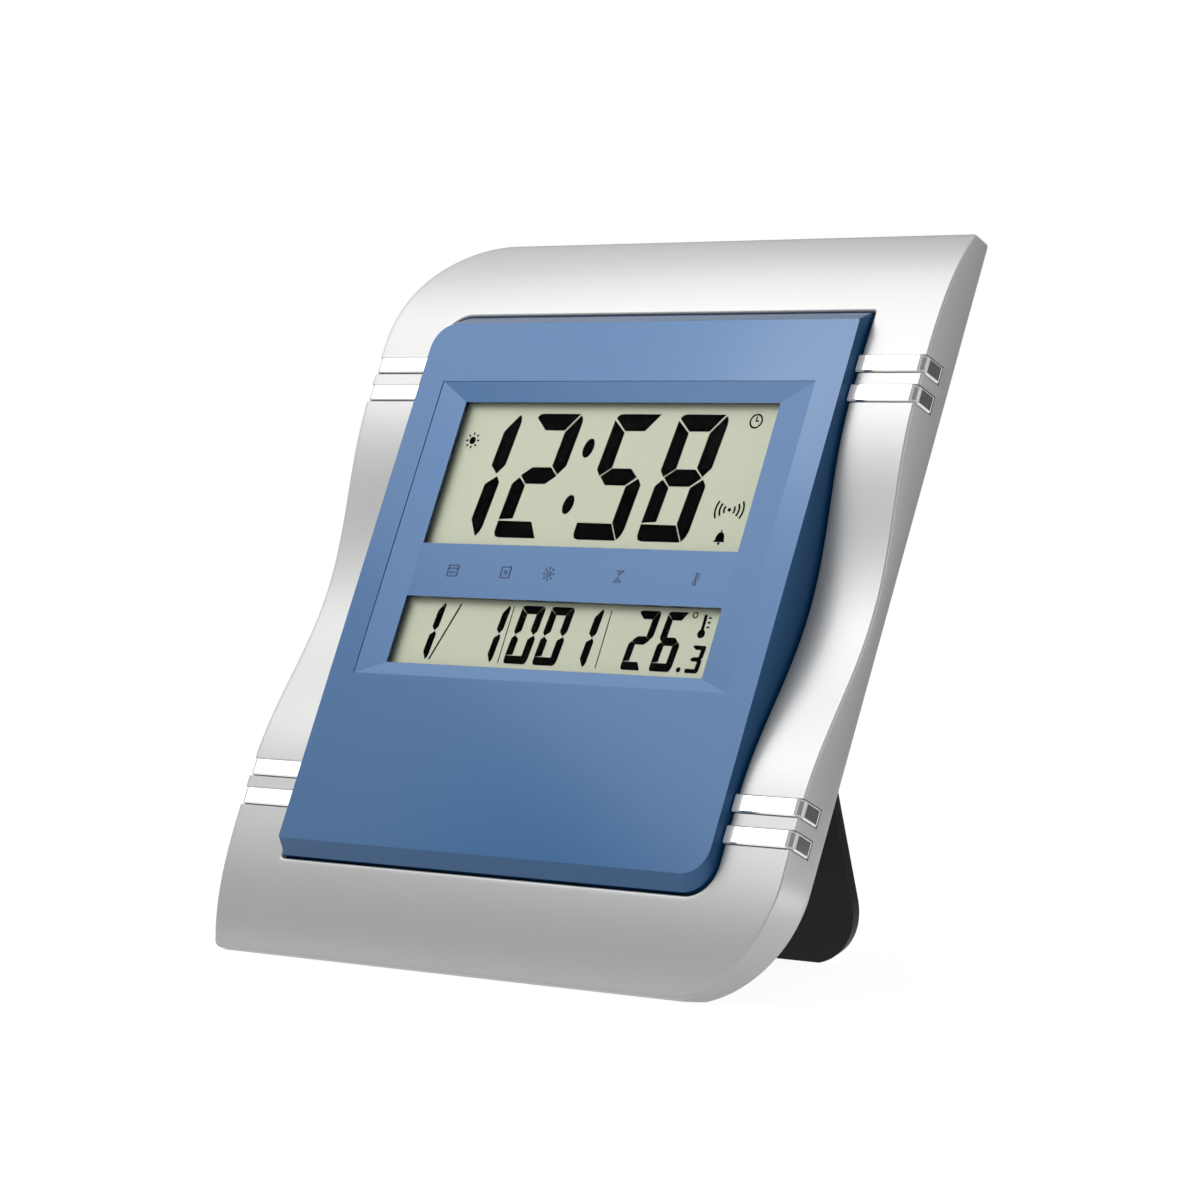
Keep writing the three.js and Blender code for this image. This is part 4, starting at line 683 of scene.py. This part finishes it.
# Display. A clear lens lies behind both windows, over a grey-green film on the liquid crystal glass.
# The dark segments show just under the lens: hours, minutes, date, day of the year and warmth.
DIGIT_LOW, DIGIT_HIGH = 13.61, 13.66
DIGIT_SLANT = 0.09
DIGIT_SWELL = 0.12
DIGIT_SIZE = (17.3, 38.1)
HOURS_LOW = 14.7
DATE_LOW, DATE_TALL = -23.0, 17.2
RADIO_PLACE = (47.8, 24.6)
CLOCK_PLACE = (48.3, 51.0)
LENS_ALPHA = 0.012
SEGMENTS = {
    "a": [(0.3, 37.0), (0.9, 37.8), (2.0, 38.1), (15.6, 38.1), (11.9, 33.15), (4.9, 33.15)],
    "b": [
        (16.2, 37.6), (16.9, 36.9), (17.3, 35.5), (17.3, 22.2), (15.2, 19.6), (12.4, 22.1), (12.4, 32.5),
    ],
    "c": [(15.9, 18.5), (17.4, 16.7), (17.4, 3.2), (16.9, 1.4), (16.0, 0.3), (12.5, 5.3), (12.5, 16.1)],
    "d": [(0.0, 4.9), (12.2, 4.8), (15.5, 0.0), (2.2, 0.0), (0.8, 0.4), (0.15, 1.6)],
    "e": [(1.8, 18.3), (4.75, 16.0), (4.75, 5.9), (-0.05, 5.55), (-0.05, 16.4)],
    "f": [(0.0, 36.1), (4.75, 32.5), (4.95, 21.9), (1.6, 19.4), (0.0, 21.2)],
    "g": [(2.2, 19.05), (5.3, 21.5), (12.0, 21.5), (15.0, 19.05), (11.9, 16.6), (4.8, 16.6)],
}
LIT = {
    "0": "abcdef", "1": "bc", "2": "abged", "3": "abgcd", "5": "afgcd", "6": "afgecd", "8": "abcdefg",
}


def swollen(outline, by):
    """An outline with each of its sides moved out a little."""
    area = sum(a[0] * b[1] - b[0] * a[1] for a, b in zip(outline, outline[1:] + outline[:1]))
    corners = [Vector(point) for point in (outline if area > 0 else outline[::-1])]
    result = []
    for before, corner, after in zip(corners[-1:] + corners[:-1], corners, corners[1:] + corners[:1]):
        sides = [(corner - before).normalized(), (after - corner).normalized()]
        outward = Vector((sides[0].y + sides[1].y, -sides[0].x - sides[1].x))
        result.append(tuple(corner + outward * (2.0 * by / max(outward.length_squared, 1.0))))
    return result


def digit(sign, x, y, width, height):
    wide, tall = width / DIGIT_SIZE[0], height / DIGIT_SIZE[1]
    outlines = []
    for part in LIT[sign]:
        outline = [(x + px * wide + DIGIT_SLANT * py * tall, y + py * tall) for px, py in SEGMENTS[part]]
        outlines.append(swollen(outline, DIGIT_SWELL))
    return outlines


def bell_mark(x, y, size):
    body = [(-1.0, -0.62), (-0.78, -0.36), (-0.66, 0.3), (-0.4, 0.72), (0.0, 0.86)]
    outline = body + [(-px, py) for px, py in reversed(body[:-1])]
    return [
        [(x + px * size, y + py * size) for px, py in outline],
        round_spot(x, y - 0.84 * size, 0.2 * size, 12),
        round_spot(x, y + 1.02 * size, 0.14 * size, 10),
    ]


segments = []
for sign, x in (("1", -56.6), ("2", -33.9), ("5", -4.7), ("8", 18.2)):
    segments += digit(sign, x, HOURS_LOW, *DIGIT_SIZE)
segments += [round_spot(x, y, 1.85, 24, 1.6, 0.1) for x, y in ((-8.3, 42.4), (-9.6, 25.1))]
segments += sun_mark(-52.4, 44.4, 2.5)
segments += ring_band(*CLOCK_PLACE, 1.75, 2.25)
segments += [thick_line(*CLOCK_PLACE, 48.3, 52.4, 0.4), thick_line(48.1, 51.0, 49.3, 51.0, 0.4)]
segments.append(round_spot(*RADIO_PLACE, 0.55, 14))
for radius, spread in ((1.8, 34), (3.3, 33), (4.8, 32)):
    for middle in (0, 180):
        start, end = middle - spread, middle + spread
        segments.append(arc_band(*RADIO_PLACE, radius - 0.28, radius + 0.28, start, end))
segments += bell_mark(47.3, 16.3, 2.0)
for sign, x, width in (
    ("1", -52.1, 7.3), ("1", -28.0, 7.3), ("0", -16.2, 8.2), ("0", -5.6, 8.2), ("1", 4.9, 8.2),
):
    segments += digit(sign, x, DATE_LOW, width, DATE_TALL)
segments.append(thick_line(-37.7, -6.0, -43.8, -23.1, 0.5))
segments += [thick_line(x, -6.1, x - 0.1, -23.1, 0.28) for x in (-18.0, 17.3)]
for sign, x in (("2", 25.9), ("6", 35.9)):
    segments += digit(sign, x, DATE_LOW, 7.3, DATE_TALL)
segments += [round_spot(46.0, -22.3, 0.75, 14)] + digit("3", 48.3, DATE_LOW, 4.3, 7.8)
segments += ring_band(46.6, -6.4, 0.6, 0.95) + thermometer_mark(50.3, -9.6, 3.4)
segment_black = finish("segment_black", "040504", 0.8, fineness=3000.0, unevenness=0.1, bump=0.03)
segment_black.node_tree.nodes["Principled BSDF"].inputs["Specular IOR Level"].default_value = 0.0
segments_mesh = printed_mesh("display_segments", segments, DIGIT_LOW, DIGIT_HIGH)
shown_piece("display_segments", segments_mesh, "clock", "display_film", segment_black)


def coat(material, *nodes):
    """A finish on solids that are shown as they are."""
    for node in nodes:
        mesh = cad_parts[node].data
        mesh.materials.clear()
        mesh.materials.append(material)


display_film = finish(
    "display_film", "D2D8BE", 0.5, fineness=3500.0, patch=12.0, unevenness=0.02, bump=0.04
)
coat(display_film, "display_front_film", "display_reflector")
display_glass = finish("display_glass", "BFC6AE", 0.15, fineness=800.0, unevenness=0.02, bump=0.01)
coat(display_glass, "display_glass")
clear_lens = finish("clear_lens", "23282A", 0.06, fineness=500.0, unevenness=0.01, bump=0.01, spread=0.02)
clear_lens.node_tree.nodes["Principled BSDF"].inputs["Alpha"].default_value = LENS_ALPHA
coat(clear_lens, "display_lens")
coat(finish("holder_black", "161617", 0.6, fineness=1800.0, bump=0.15), "display_holder")
dark_rubber = finish("dark_rubber", "39393B", 0.8, fineness=1500.0, unevenness=0.12, bump=0.25)
coat(dark_rubber, "connector_strip_upper", "connector_strip_lower", "key_mat")


# Circuit board and what is soldered to it. A green board with a blob of black resin over the chip, a
# crystal can, a capacitor, a warmth sensor on two legs, and leads to the cells and the buzzer.
board_green = finish(
    "board_green", "2E6A40", 0.42, fineness=700.0, patch=60.0, unevenness=0.22, bump=0.2
)
coat(board_green, "circuit_board")
black_resin = finish("black_resin", "111112", 0.35, fineness=1200.0, unevenness=0.15, bump=0.15)
coat(black_resin, "controller_chip", "smoothing_capacitor", "temperature_sensor")
plated_steel = finish(
    "plated_steel", "BDBEC0", 0.28, metallic=1.0, fineness=1400.0, patch=90.0, unevenness=0.08, bump=0.08
)
coat(plated_steel, "quartz_crystal", "contact_negative", "contact_positive", "contact_link")
for row in ("board", "panel"):
    for side in ("left", "right"):
        coat(plated_steel, f"{row}_screw_{side}_upper", f"{row}_screw_{side}_lower")
buzzer_brass = finish(
    "buzzer_brass", "C8A45B", 0.32, metallic=1.0, fineness=1600.0, unevenness=0.1, bump=0.1
)
coat(buzzer_brass, "buzzer_disc")
for colour, code in (("black", "161617"), ("red", "A92A2A")):
    lead = finish(f"lead_{colour}", code, 0.5, fineness=1600.0, bump=0.1)
    coat(lead, f"battery_lead_{colour}", f"buzzer_lead_{colour}")
cell_wrap = finish(
    "cell_wrap", "4C6F61", 0.35, metallic=0.4, fineness=900.0, patch=40.0, unevenness=0.08, bump=0.05
)
coat(cell_wrap, "battery_cell_upper", "battery_cell_lower")


# Rear cover, battery door and stand. Black mouldings with a fine sparked texture, their outer edges
# rounded. The stand swings on two pivots, and the door slides in its seat under the folded stand.
COVER_REAR, COVER_SHORTEST = -7.2, 0.4
DOOR_REAR, DOOR_SHORTEST, DOOR_MIDDLE = -3.5, 3.0, 20.0
PIVOT_Y, PIVOT_Z, PIVOT_CLEAR = 5.0, -4.6, 7.0
case_black = finish(
    "case_black", "0D0D0E", 0.46, fineness=2200.0, patch=14.0, unevenness=0.14, bump=0.5, spread=0.16
)
case_black.node_tree.nodes["Principled BSDF"].inputs["Specular IOR Level"].default_value = 0.2


def cover_edges(a, b):
    return max(a.z, b.z) < COVER_REAR and (a - b).length > COVER_SHORTEST


def door_edges(a, b):
    outside = max(abs(a.x), abs(b.x)) > DOOR_MIDDLE
    return outside and max(a.z, b.z) < DOOR_REAR and (a - b).length > DOOR_SHORTEST


def stand_edges(a, b):
    return min(math.hypot(point.y - PIVOT_Y, point.z - PIVOT_Z) for point in (a, b)) > PIVOT_CLEAR


for node, name, body, width, steps, chosen in (
    ("rear_cover", "rear_cover_shell", "clock", 0.5, 3, cover_edges),
    ("battery_door", "battery_door_plate", "battery_door", 0.3, 2, door_edges),
    ("stand", "stand_flap", "stand", 0.4, 3, stand_edges),
):
    moulding = softened_copy(node, width, steps, chosen, name)
    shown_piece(name, moulding, body, "case_black", case_black, node)


# Cover screws. Six pan-head screws of plated steel with a cross recess, sunk in the cover's flange.
SCREW_PLACES = ((-88.5, 62.0), (88.5, 62.0), (-88.5, -62.0), (88.5, -62.0), (-48.0, 97.0), (48.0, 97.0))
SCREW_PROFILE = (
    (0.0, 0.0), (1.2, 0.05), (2.0, 0.22), (2.5, 0.55), (2.7, 0.9),
    (2.7, 1.3), (1.25, 1.3), (1.25, 6.0), (0.0, 6.4),
)
SCREW_SIDES = 28
SCREW_CREASE = 35.0
CROSS_HALF, CROSS_REACH = 0.28, 1.5
CROSS_TOP, CROSS_BASE, CROSS_TAPER = -0.5, 0.85, 0.7


def screw_mesh():
    work = bmesh.new()
    rings = []
    for radius, z in SCREW_PROFILE:
        if radius == 0.0:
            rings.append([work.verts.new((0.0, 0.0, z))])
        else:
            turns = [2 * math.pi * i / SCREW_SIDES for i in range(SCREW_SIDES)]
            rings.append([work.verts.new((radius * math.cos(t), radius * math.sin(t), z)) for t in turns])
    for low, high in zip(rings, rings[1:]):
        for i in range(SCREW_SIDES):
            corners = [
                loop[step % SCREW_SIDES % len(loop)]
                for loop, step in ((low, i), (high, i), (high, i + 1), (low, i + 1))
            ]
            work.faces.new(list(dict.fromkeys(corners)))
    bmesh.ops.recalc_face_normals(work, faces=work.faces)
    head = drawn_mesh(work, "cover_screw")
    cross = bmesh.new()
    arms = [(CROSS_HALF, CROSS_REACH), (CROSS_HALF, CROSS_HALF), (CROSS_REACH, CROSS_HALF)]
    outline = arms + [(x, -y) for x, y in reversed(arms)]
    outline += [(-x, -y) for x, y in arms] + [(-x, y) for x, y in reversed(arms)]
    top = [cross.verts.new((x, y, CROSS_TOP)) for x, y in outline]
    base = [cross.verts.new((CROSS_TAPER * x, CROSS_TAPER * y, CROSS_BASE)) for x, y in outline]
    cross.faces.new(top)
    cross.faces.new(base[::-1])
    for i, vertex in enumerate(top):
        following = (i + 1) % len(top)
        cross.faces.new((vertex, base[i], base[following], top[following]))
    bmesh.ops.recalc_face_normals(cross, faces=cross.faces)
    carrier = bpy.data.objects.new("cover_screw", head)
    cutter = bpy.data.objects.new("cross_recess", drawn_mesh(cross, "cross_recess"))
    collection.objects.link(carrier)
    collection.objects.link(cutter)
    recess = carrier.modifiers.new("recess", "BOOLEAN")
    recess.operation = "DIFFERENCE"
    recess.object = cutter
    recess.solver = "EXACT"
    mesh = plain_mesh(carrier)
    bpy.data.objects.remove(cutter)
    return mesh


screw_points = bpy.data.meshes.new("screw_points")
screw_points.from_pydata([(x, y, 0.0) for x, y in SCREW_PLACES], [], [])
screw_holder = bpy.data.objects.new("cover_screw_pattern", screw_mesh())
collection.objects.link(screw_holder)
screw_tree, given = geometry_tree("screws_at_places", {"Turn": 0.6})
pattern = screw_tree.nodes.new("GeometryNodeObjectInfo")
pattern.inputs["Object"].default_value = screw_holder
index = screw_tree.nodes.new("GeometryNodeInputIndex").outputs[0]
facing = screw_tree.nodes.new("ShaderNodeCombineXYZ")
screw_tree.links.new(math_node(screw_tree, "MULTIPLY", index, given["Turn"]), facing.inputs["Z"])
laid = screw_tree.nodes.new("GeometryNodeInstanceOnPoints")
screw_tree.links.new(given["Geometry"], laid.inputs["Points"])
screw_tree.links.new(pattern.outputs["Geometry"], laid.inputs["Instance"])
screw_tree.links.new(facing.outputs[0], laid.inputs["Rotation"])
close_tree(screw_tree, laid.outputs[0], given)
screws_mesh = grown_mesh(screw_points, screw_tree, Material=plated_steel)
bpy.data.objects.remove(screw_holder)
screws_mesh.transform(LEANED)
screws_mesh.shade_smooth()
screws_mesh.set_sharp_from_angle(angle=math.radians(SCREW_CREASE))
shown_piece(
    "cover_screws", screws_mesh, "clock", "screw_steel", plated_steel,
    *[f"cover_screw_{s}_{h}" for s in ("left", "right") for h in ("upper", "lower")],
    "cover_screw_top_left", "cover_screw_top_right",
)


# Push buttons. Five grey caps with rounded tops in a channel of the cover, each pressing a rubber dome.
# A pale printed sign tells them apart: a ring, a square, two arrows and a bell.
BUTTON_ROW = 44.0
BUTTON_FACE = -7.0
BUTTON_RIM = -6.9
SIGN_LOW, SIGN_HIGH = BUTTON_FACE - 0.04, BUTTON_FACE + 0.1
button_grey = finish("button_grey", "8B8F96", 0.45, fineness=2000.0, unevenness=0.05, bump=0.2)
sign_white = finish("sign_white", "E2E4E6", 0.5, fineness=2600.0, unevenness=0.04, bump=0.1)
button_signs = {
    "mode": (-36.0, lambda x, y: ring_band(x, y, 0.95, 1.4)),
    "set": (-18.0, lambda x, y: [thick_line(x - 1.1, y, x + 1.1, y, 2.2)]),
    "up": (0.0, lambda x, y: [[(x - 1.4, y - 1.0), (x + 1.4, y - 1.0), (x, y + 1.3)]]),
    "down": (18.0, lambda x, y: [[(x - 1.4, y + 1.0), (x, y - 1.3), (x + 1.4, y + 1.0)]]),
    "alarm": (36.0, lambda x, y: bell_mark(x, y, 1.3)),
}


def button_edges(a, b):
    return max(a.z, b.z) < BUTTON_RIM


for button, (x, sign) in button_signs.items():
    node = f"button_{button}"
    cap_mesh = softened_copy(node, 0.6, 4, button_edges, f"{node}_cap")
    shown_piece(f"{node}_cap", cap_mesh, node, "button_grey", button_grey, node)
    sign_mesh = printed_mesh(f"{node}_sign", sign(x, BUTTON_ROW), SIGN_LOW, SIGN_HIGH)
    shown_piece(f"{node}_sign", sign_mesh, node, "button_grey", sign_white)


# Stage. A white floor that keeps the clock's soft shadow, an even pale room with three dark flags, one
# large soft box with smaller cards round it, and a camera at the photograph's place.
ROOM_LIGHT = 0.5
ROOM_MIRRORED = 0.05
FLAG_MIDDLE = 0.98
FLAGS = (
    ((0.588, 0.809, -0.04), 0.9, 0.94),
    ((0.717, -0.459, 0.523), 0.55, 0.86),
    ((-0.7, 0.63, 0.335), 0.75, 0.84),
)
FLOOR_REACH = 6.0
FLOOR_PALE, FLOOR_PALER = 0.4, 0.3
FLOOR_GLOW, FLOOR_GLOW_SHARE = 1.18, 0.8
FLOOR_NEAR, FLOOR_FAR = 0.14, 0.42
LAMPS = (
    ("key_soft_box", (-0.4174, -0.4689, 0.8104), (0.0166, 0.0921, 0.1834), -15.5, 0.8, 0.645, 4.55),
    ("corner_card", (-0.4765, -0.4482, 0.7173), (0.07, 0.0202, 0.1769), 0.0, 0.056, 0.115, 0.125),
    ("upper_card", (-0.674, 0.088, 1.127), (0.0, 0.0, 0.19), 0.0, 0.45, 0.45, 0.38),
    ("rear_side_card", (0.72, 0.3, 0.2), (0.09, 0.02, 0.1), 0.0, 0.3, 0.3, 0.75),
    ("low_side_card", (0.16, -0.03, 0.005), (0.09, -0.035, 0.03), 0.0, 0.16, 0.03, 0.02),
    ("small_white_card", (-0.753, -0.531, 0.521), (0.0, 0.0, 0.1), 0.0, 0.2, 0.2, 0.16),
)
CAMERA_PLACE = (0.78475, -0.9361, 0.16)
CAMERA_AIM = (0.01495, -0.0146, 0.10215)
CAMERA_LENS, CAMERA_SENSOR = 132.0, 36.0
scene = bpy.context.scene
scene.view_settings.view_transform = "Standard"


def soft_step(tree, value, start, end, last):
    """A value that goes softly from 1 at the start to its last at the end."""
    step = tree.nodes.new("ShaderNodeMapRange")
    step.interpolation_type = "SMOOTHSTEP"
    tree.links.new(value, step.inputs["Value"])
    for name, limit in (("From Min", start), ("From Max", end), ("To Min", 1.0), ("To Max", last)):
        step.inputs[name].default_value = limit
    return step.outputs[0]


world = bpy.data.worlds.new("pale_room")
scene.world = world
world.use_nodes = True
tree = world.node_tree
tree.nodes.clear()
outward = tree.nodes.new("ShaderNodeTexCoord").outputs["Generated"]
strength = ROOM_LIGHT
for flag, darkness, edge in FLAGS:
    towards = tree.nodes.new("ShaderNodeVectorMath")
    towards.operation = "DOT_PRODUCT"
    tree.links.new(outward, towards.inputs[0])
    towards.inputs[1].default_value = flag
    shade = soft_step(tree, towards.outputs["Value"], edge, FLAG_MIDDLE, 1.0 - darkness)
    strength = math_node(tree, "MULTIPLY", shade, strength)
room = tree.nodes.new("ShaderNodeBackground")
room.inputs["Color"].default_value = (1.0, 1.0, 1.0, 1.0)
tree.links.new(strength, room.inputs["Strength"])
white = tree.nodes.new("ShaderNodeBackground")
white.inputs["Color"].default_value = (1.0, 1.0, 1.0, 1.0)
path = tree.nodes.new("ShaderNodeLightPath")
seen = math_node(tree, "MAXIMUM", path.outputs["Is Camera Ray"], path.outputs["Is Transmission Ray"])
mirrored = math_node(tree, "MULTIPLY", path.outputs["Is Glossy Ray"], ROOM_MIRRORED)
mix = tree.nodes.new("ShaderNodeMixShader")
tree.links.new(math_node(tree, "MAXIMUM", seen, mirrored), mix.inputs["Fac"])
tree.links.new(room.outputs[0], mix.inputs[1])
tree.links.new(white.outputs[0], mix.inputs[2])
tree.links.new(mix.outputs[0], tree.nodes.new("ShaderNodeOutputWorld").inputs["Surface"])

floor_mesh = bpy.data.meshes.new("white_floor")
corners = [(x * FLOOR_REACH, y * FLOOR_REACH, 0.0) for x, y in ((-1, -1), (1, -1), (1, 1), (-1, 1))]
floor_mesh.from_pydata(corners, [], [(0, 1, 2, 3)])
floor = bpy.data.objects.new("white_floor", floor_mesh)
collection.objects.link(floor)
floor_white = bpy.data.materials.new("floor_white")
floor_white.use_nodes = True
tree = floor_white.node_tree
shader = tree.nodes["Principled BSDF"]
shader.inputs["Roughness"].default_value = 0.9
shader.inputs["Specular IOR Level"].default_value = 0.1
glow = tree.nodes.new("ShaderNodeEmission")
glow.inputs["Strength"].default_value = FLOOR_GLOW
path = tree.nodes.new("ShaderNodeLightPath")
paleness = math_node(tree, "MULTIPLY_ADD", path.outputs["Is Camera Ray"], FLOOR_PALER, FLOOR_PALE)
tree.links.new(paleness, shader.inputs["Base Color"])
mirrored = math_node(tree, "MAXIMUM", path.outputs["Is Glossy Ray"], path.outputs["Is Transmission Ray"])
shown = math_node(tree, "MAXIMUM", path.outputs["Is Camera Ray"], mirrored)
mix = tree.nodes.new("ShaderNodeMixShader")
tree.links.new(math_node(tree, "MULTIPLY", shown, FLOOR_GLOW_SHARE), mix.inputs["Fac"])
tree.links.new(shader.outputs[0], mix.inputs[1])
tree.links.new(glow.outputs[0], mix.inputs[2])
reach = tree.nodes.new("ShaderNodeVectorMath")
reach.operation = "LENGTH"
tree.links.new(tree.nodes.new("ShaderNodeTexCoord").outputs["Object"], reach.inputs[0])
fade = soft_step(tree, reach.outputs["Value"], FLOOR_NEAR, FLOOR_FAR, 0.0)
table = tree.nodes.new("ShaderNodeMixShader")
there = math_node(tree, "MAXIMUM", path.outputs["Is Camera Ray"], fade)
tree.links.new(there, table.inputs["Fac"])
tree.links.new(tree.nodes.new("ShaderNodeBsdfTransparent").outputs[0], table.inputs[1])
tree.links.new(mix.outputs[0], table.inputs[2])
tree.links.new(table.outputs[0], tree.nodes["Material Output"].inputs["Surface"])
floor_mesh.materials.append(floor_white)

for name, place, aim, roll, width, height, power in LAMPS:
    lamp = bpy.data.lights.new(name, "AREA")
    lamp.shape = "RECTANGLE"
    lamp.size, lamp.size_y, lamp.energy = width, height, power
    holder = bpy.data.objects.new(name, lamp)
    holder.location = place
    holder.visible_camera = False
    facing = (Vector(aim) - Vector(place)).to_track_quat("-Z", "Y")
    holder.rotation_euler = (facing @ Quaternion((0.0, 0.0, 1.0), math.radians(roll))).to_euler()
    collection.objects.link(holder)

camera = bpy.data.objects.new("camera", bpy.data.cameras.new("camera"))
collection.objects.link(camera)
camera.data.lens, camera.data.sensor_width = CAMERA_LENS, CAMERA_SENSOR
camera.location = CAMERA_PLACE
camera.rotation_euler = (Vector(CAMERA_AIM) - camera.location).to_track_quat("-Z", "Y").to_euler()
scene.camera = camera
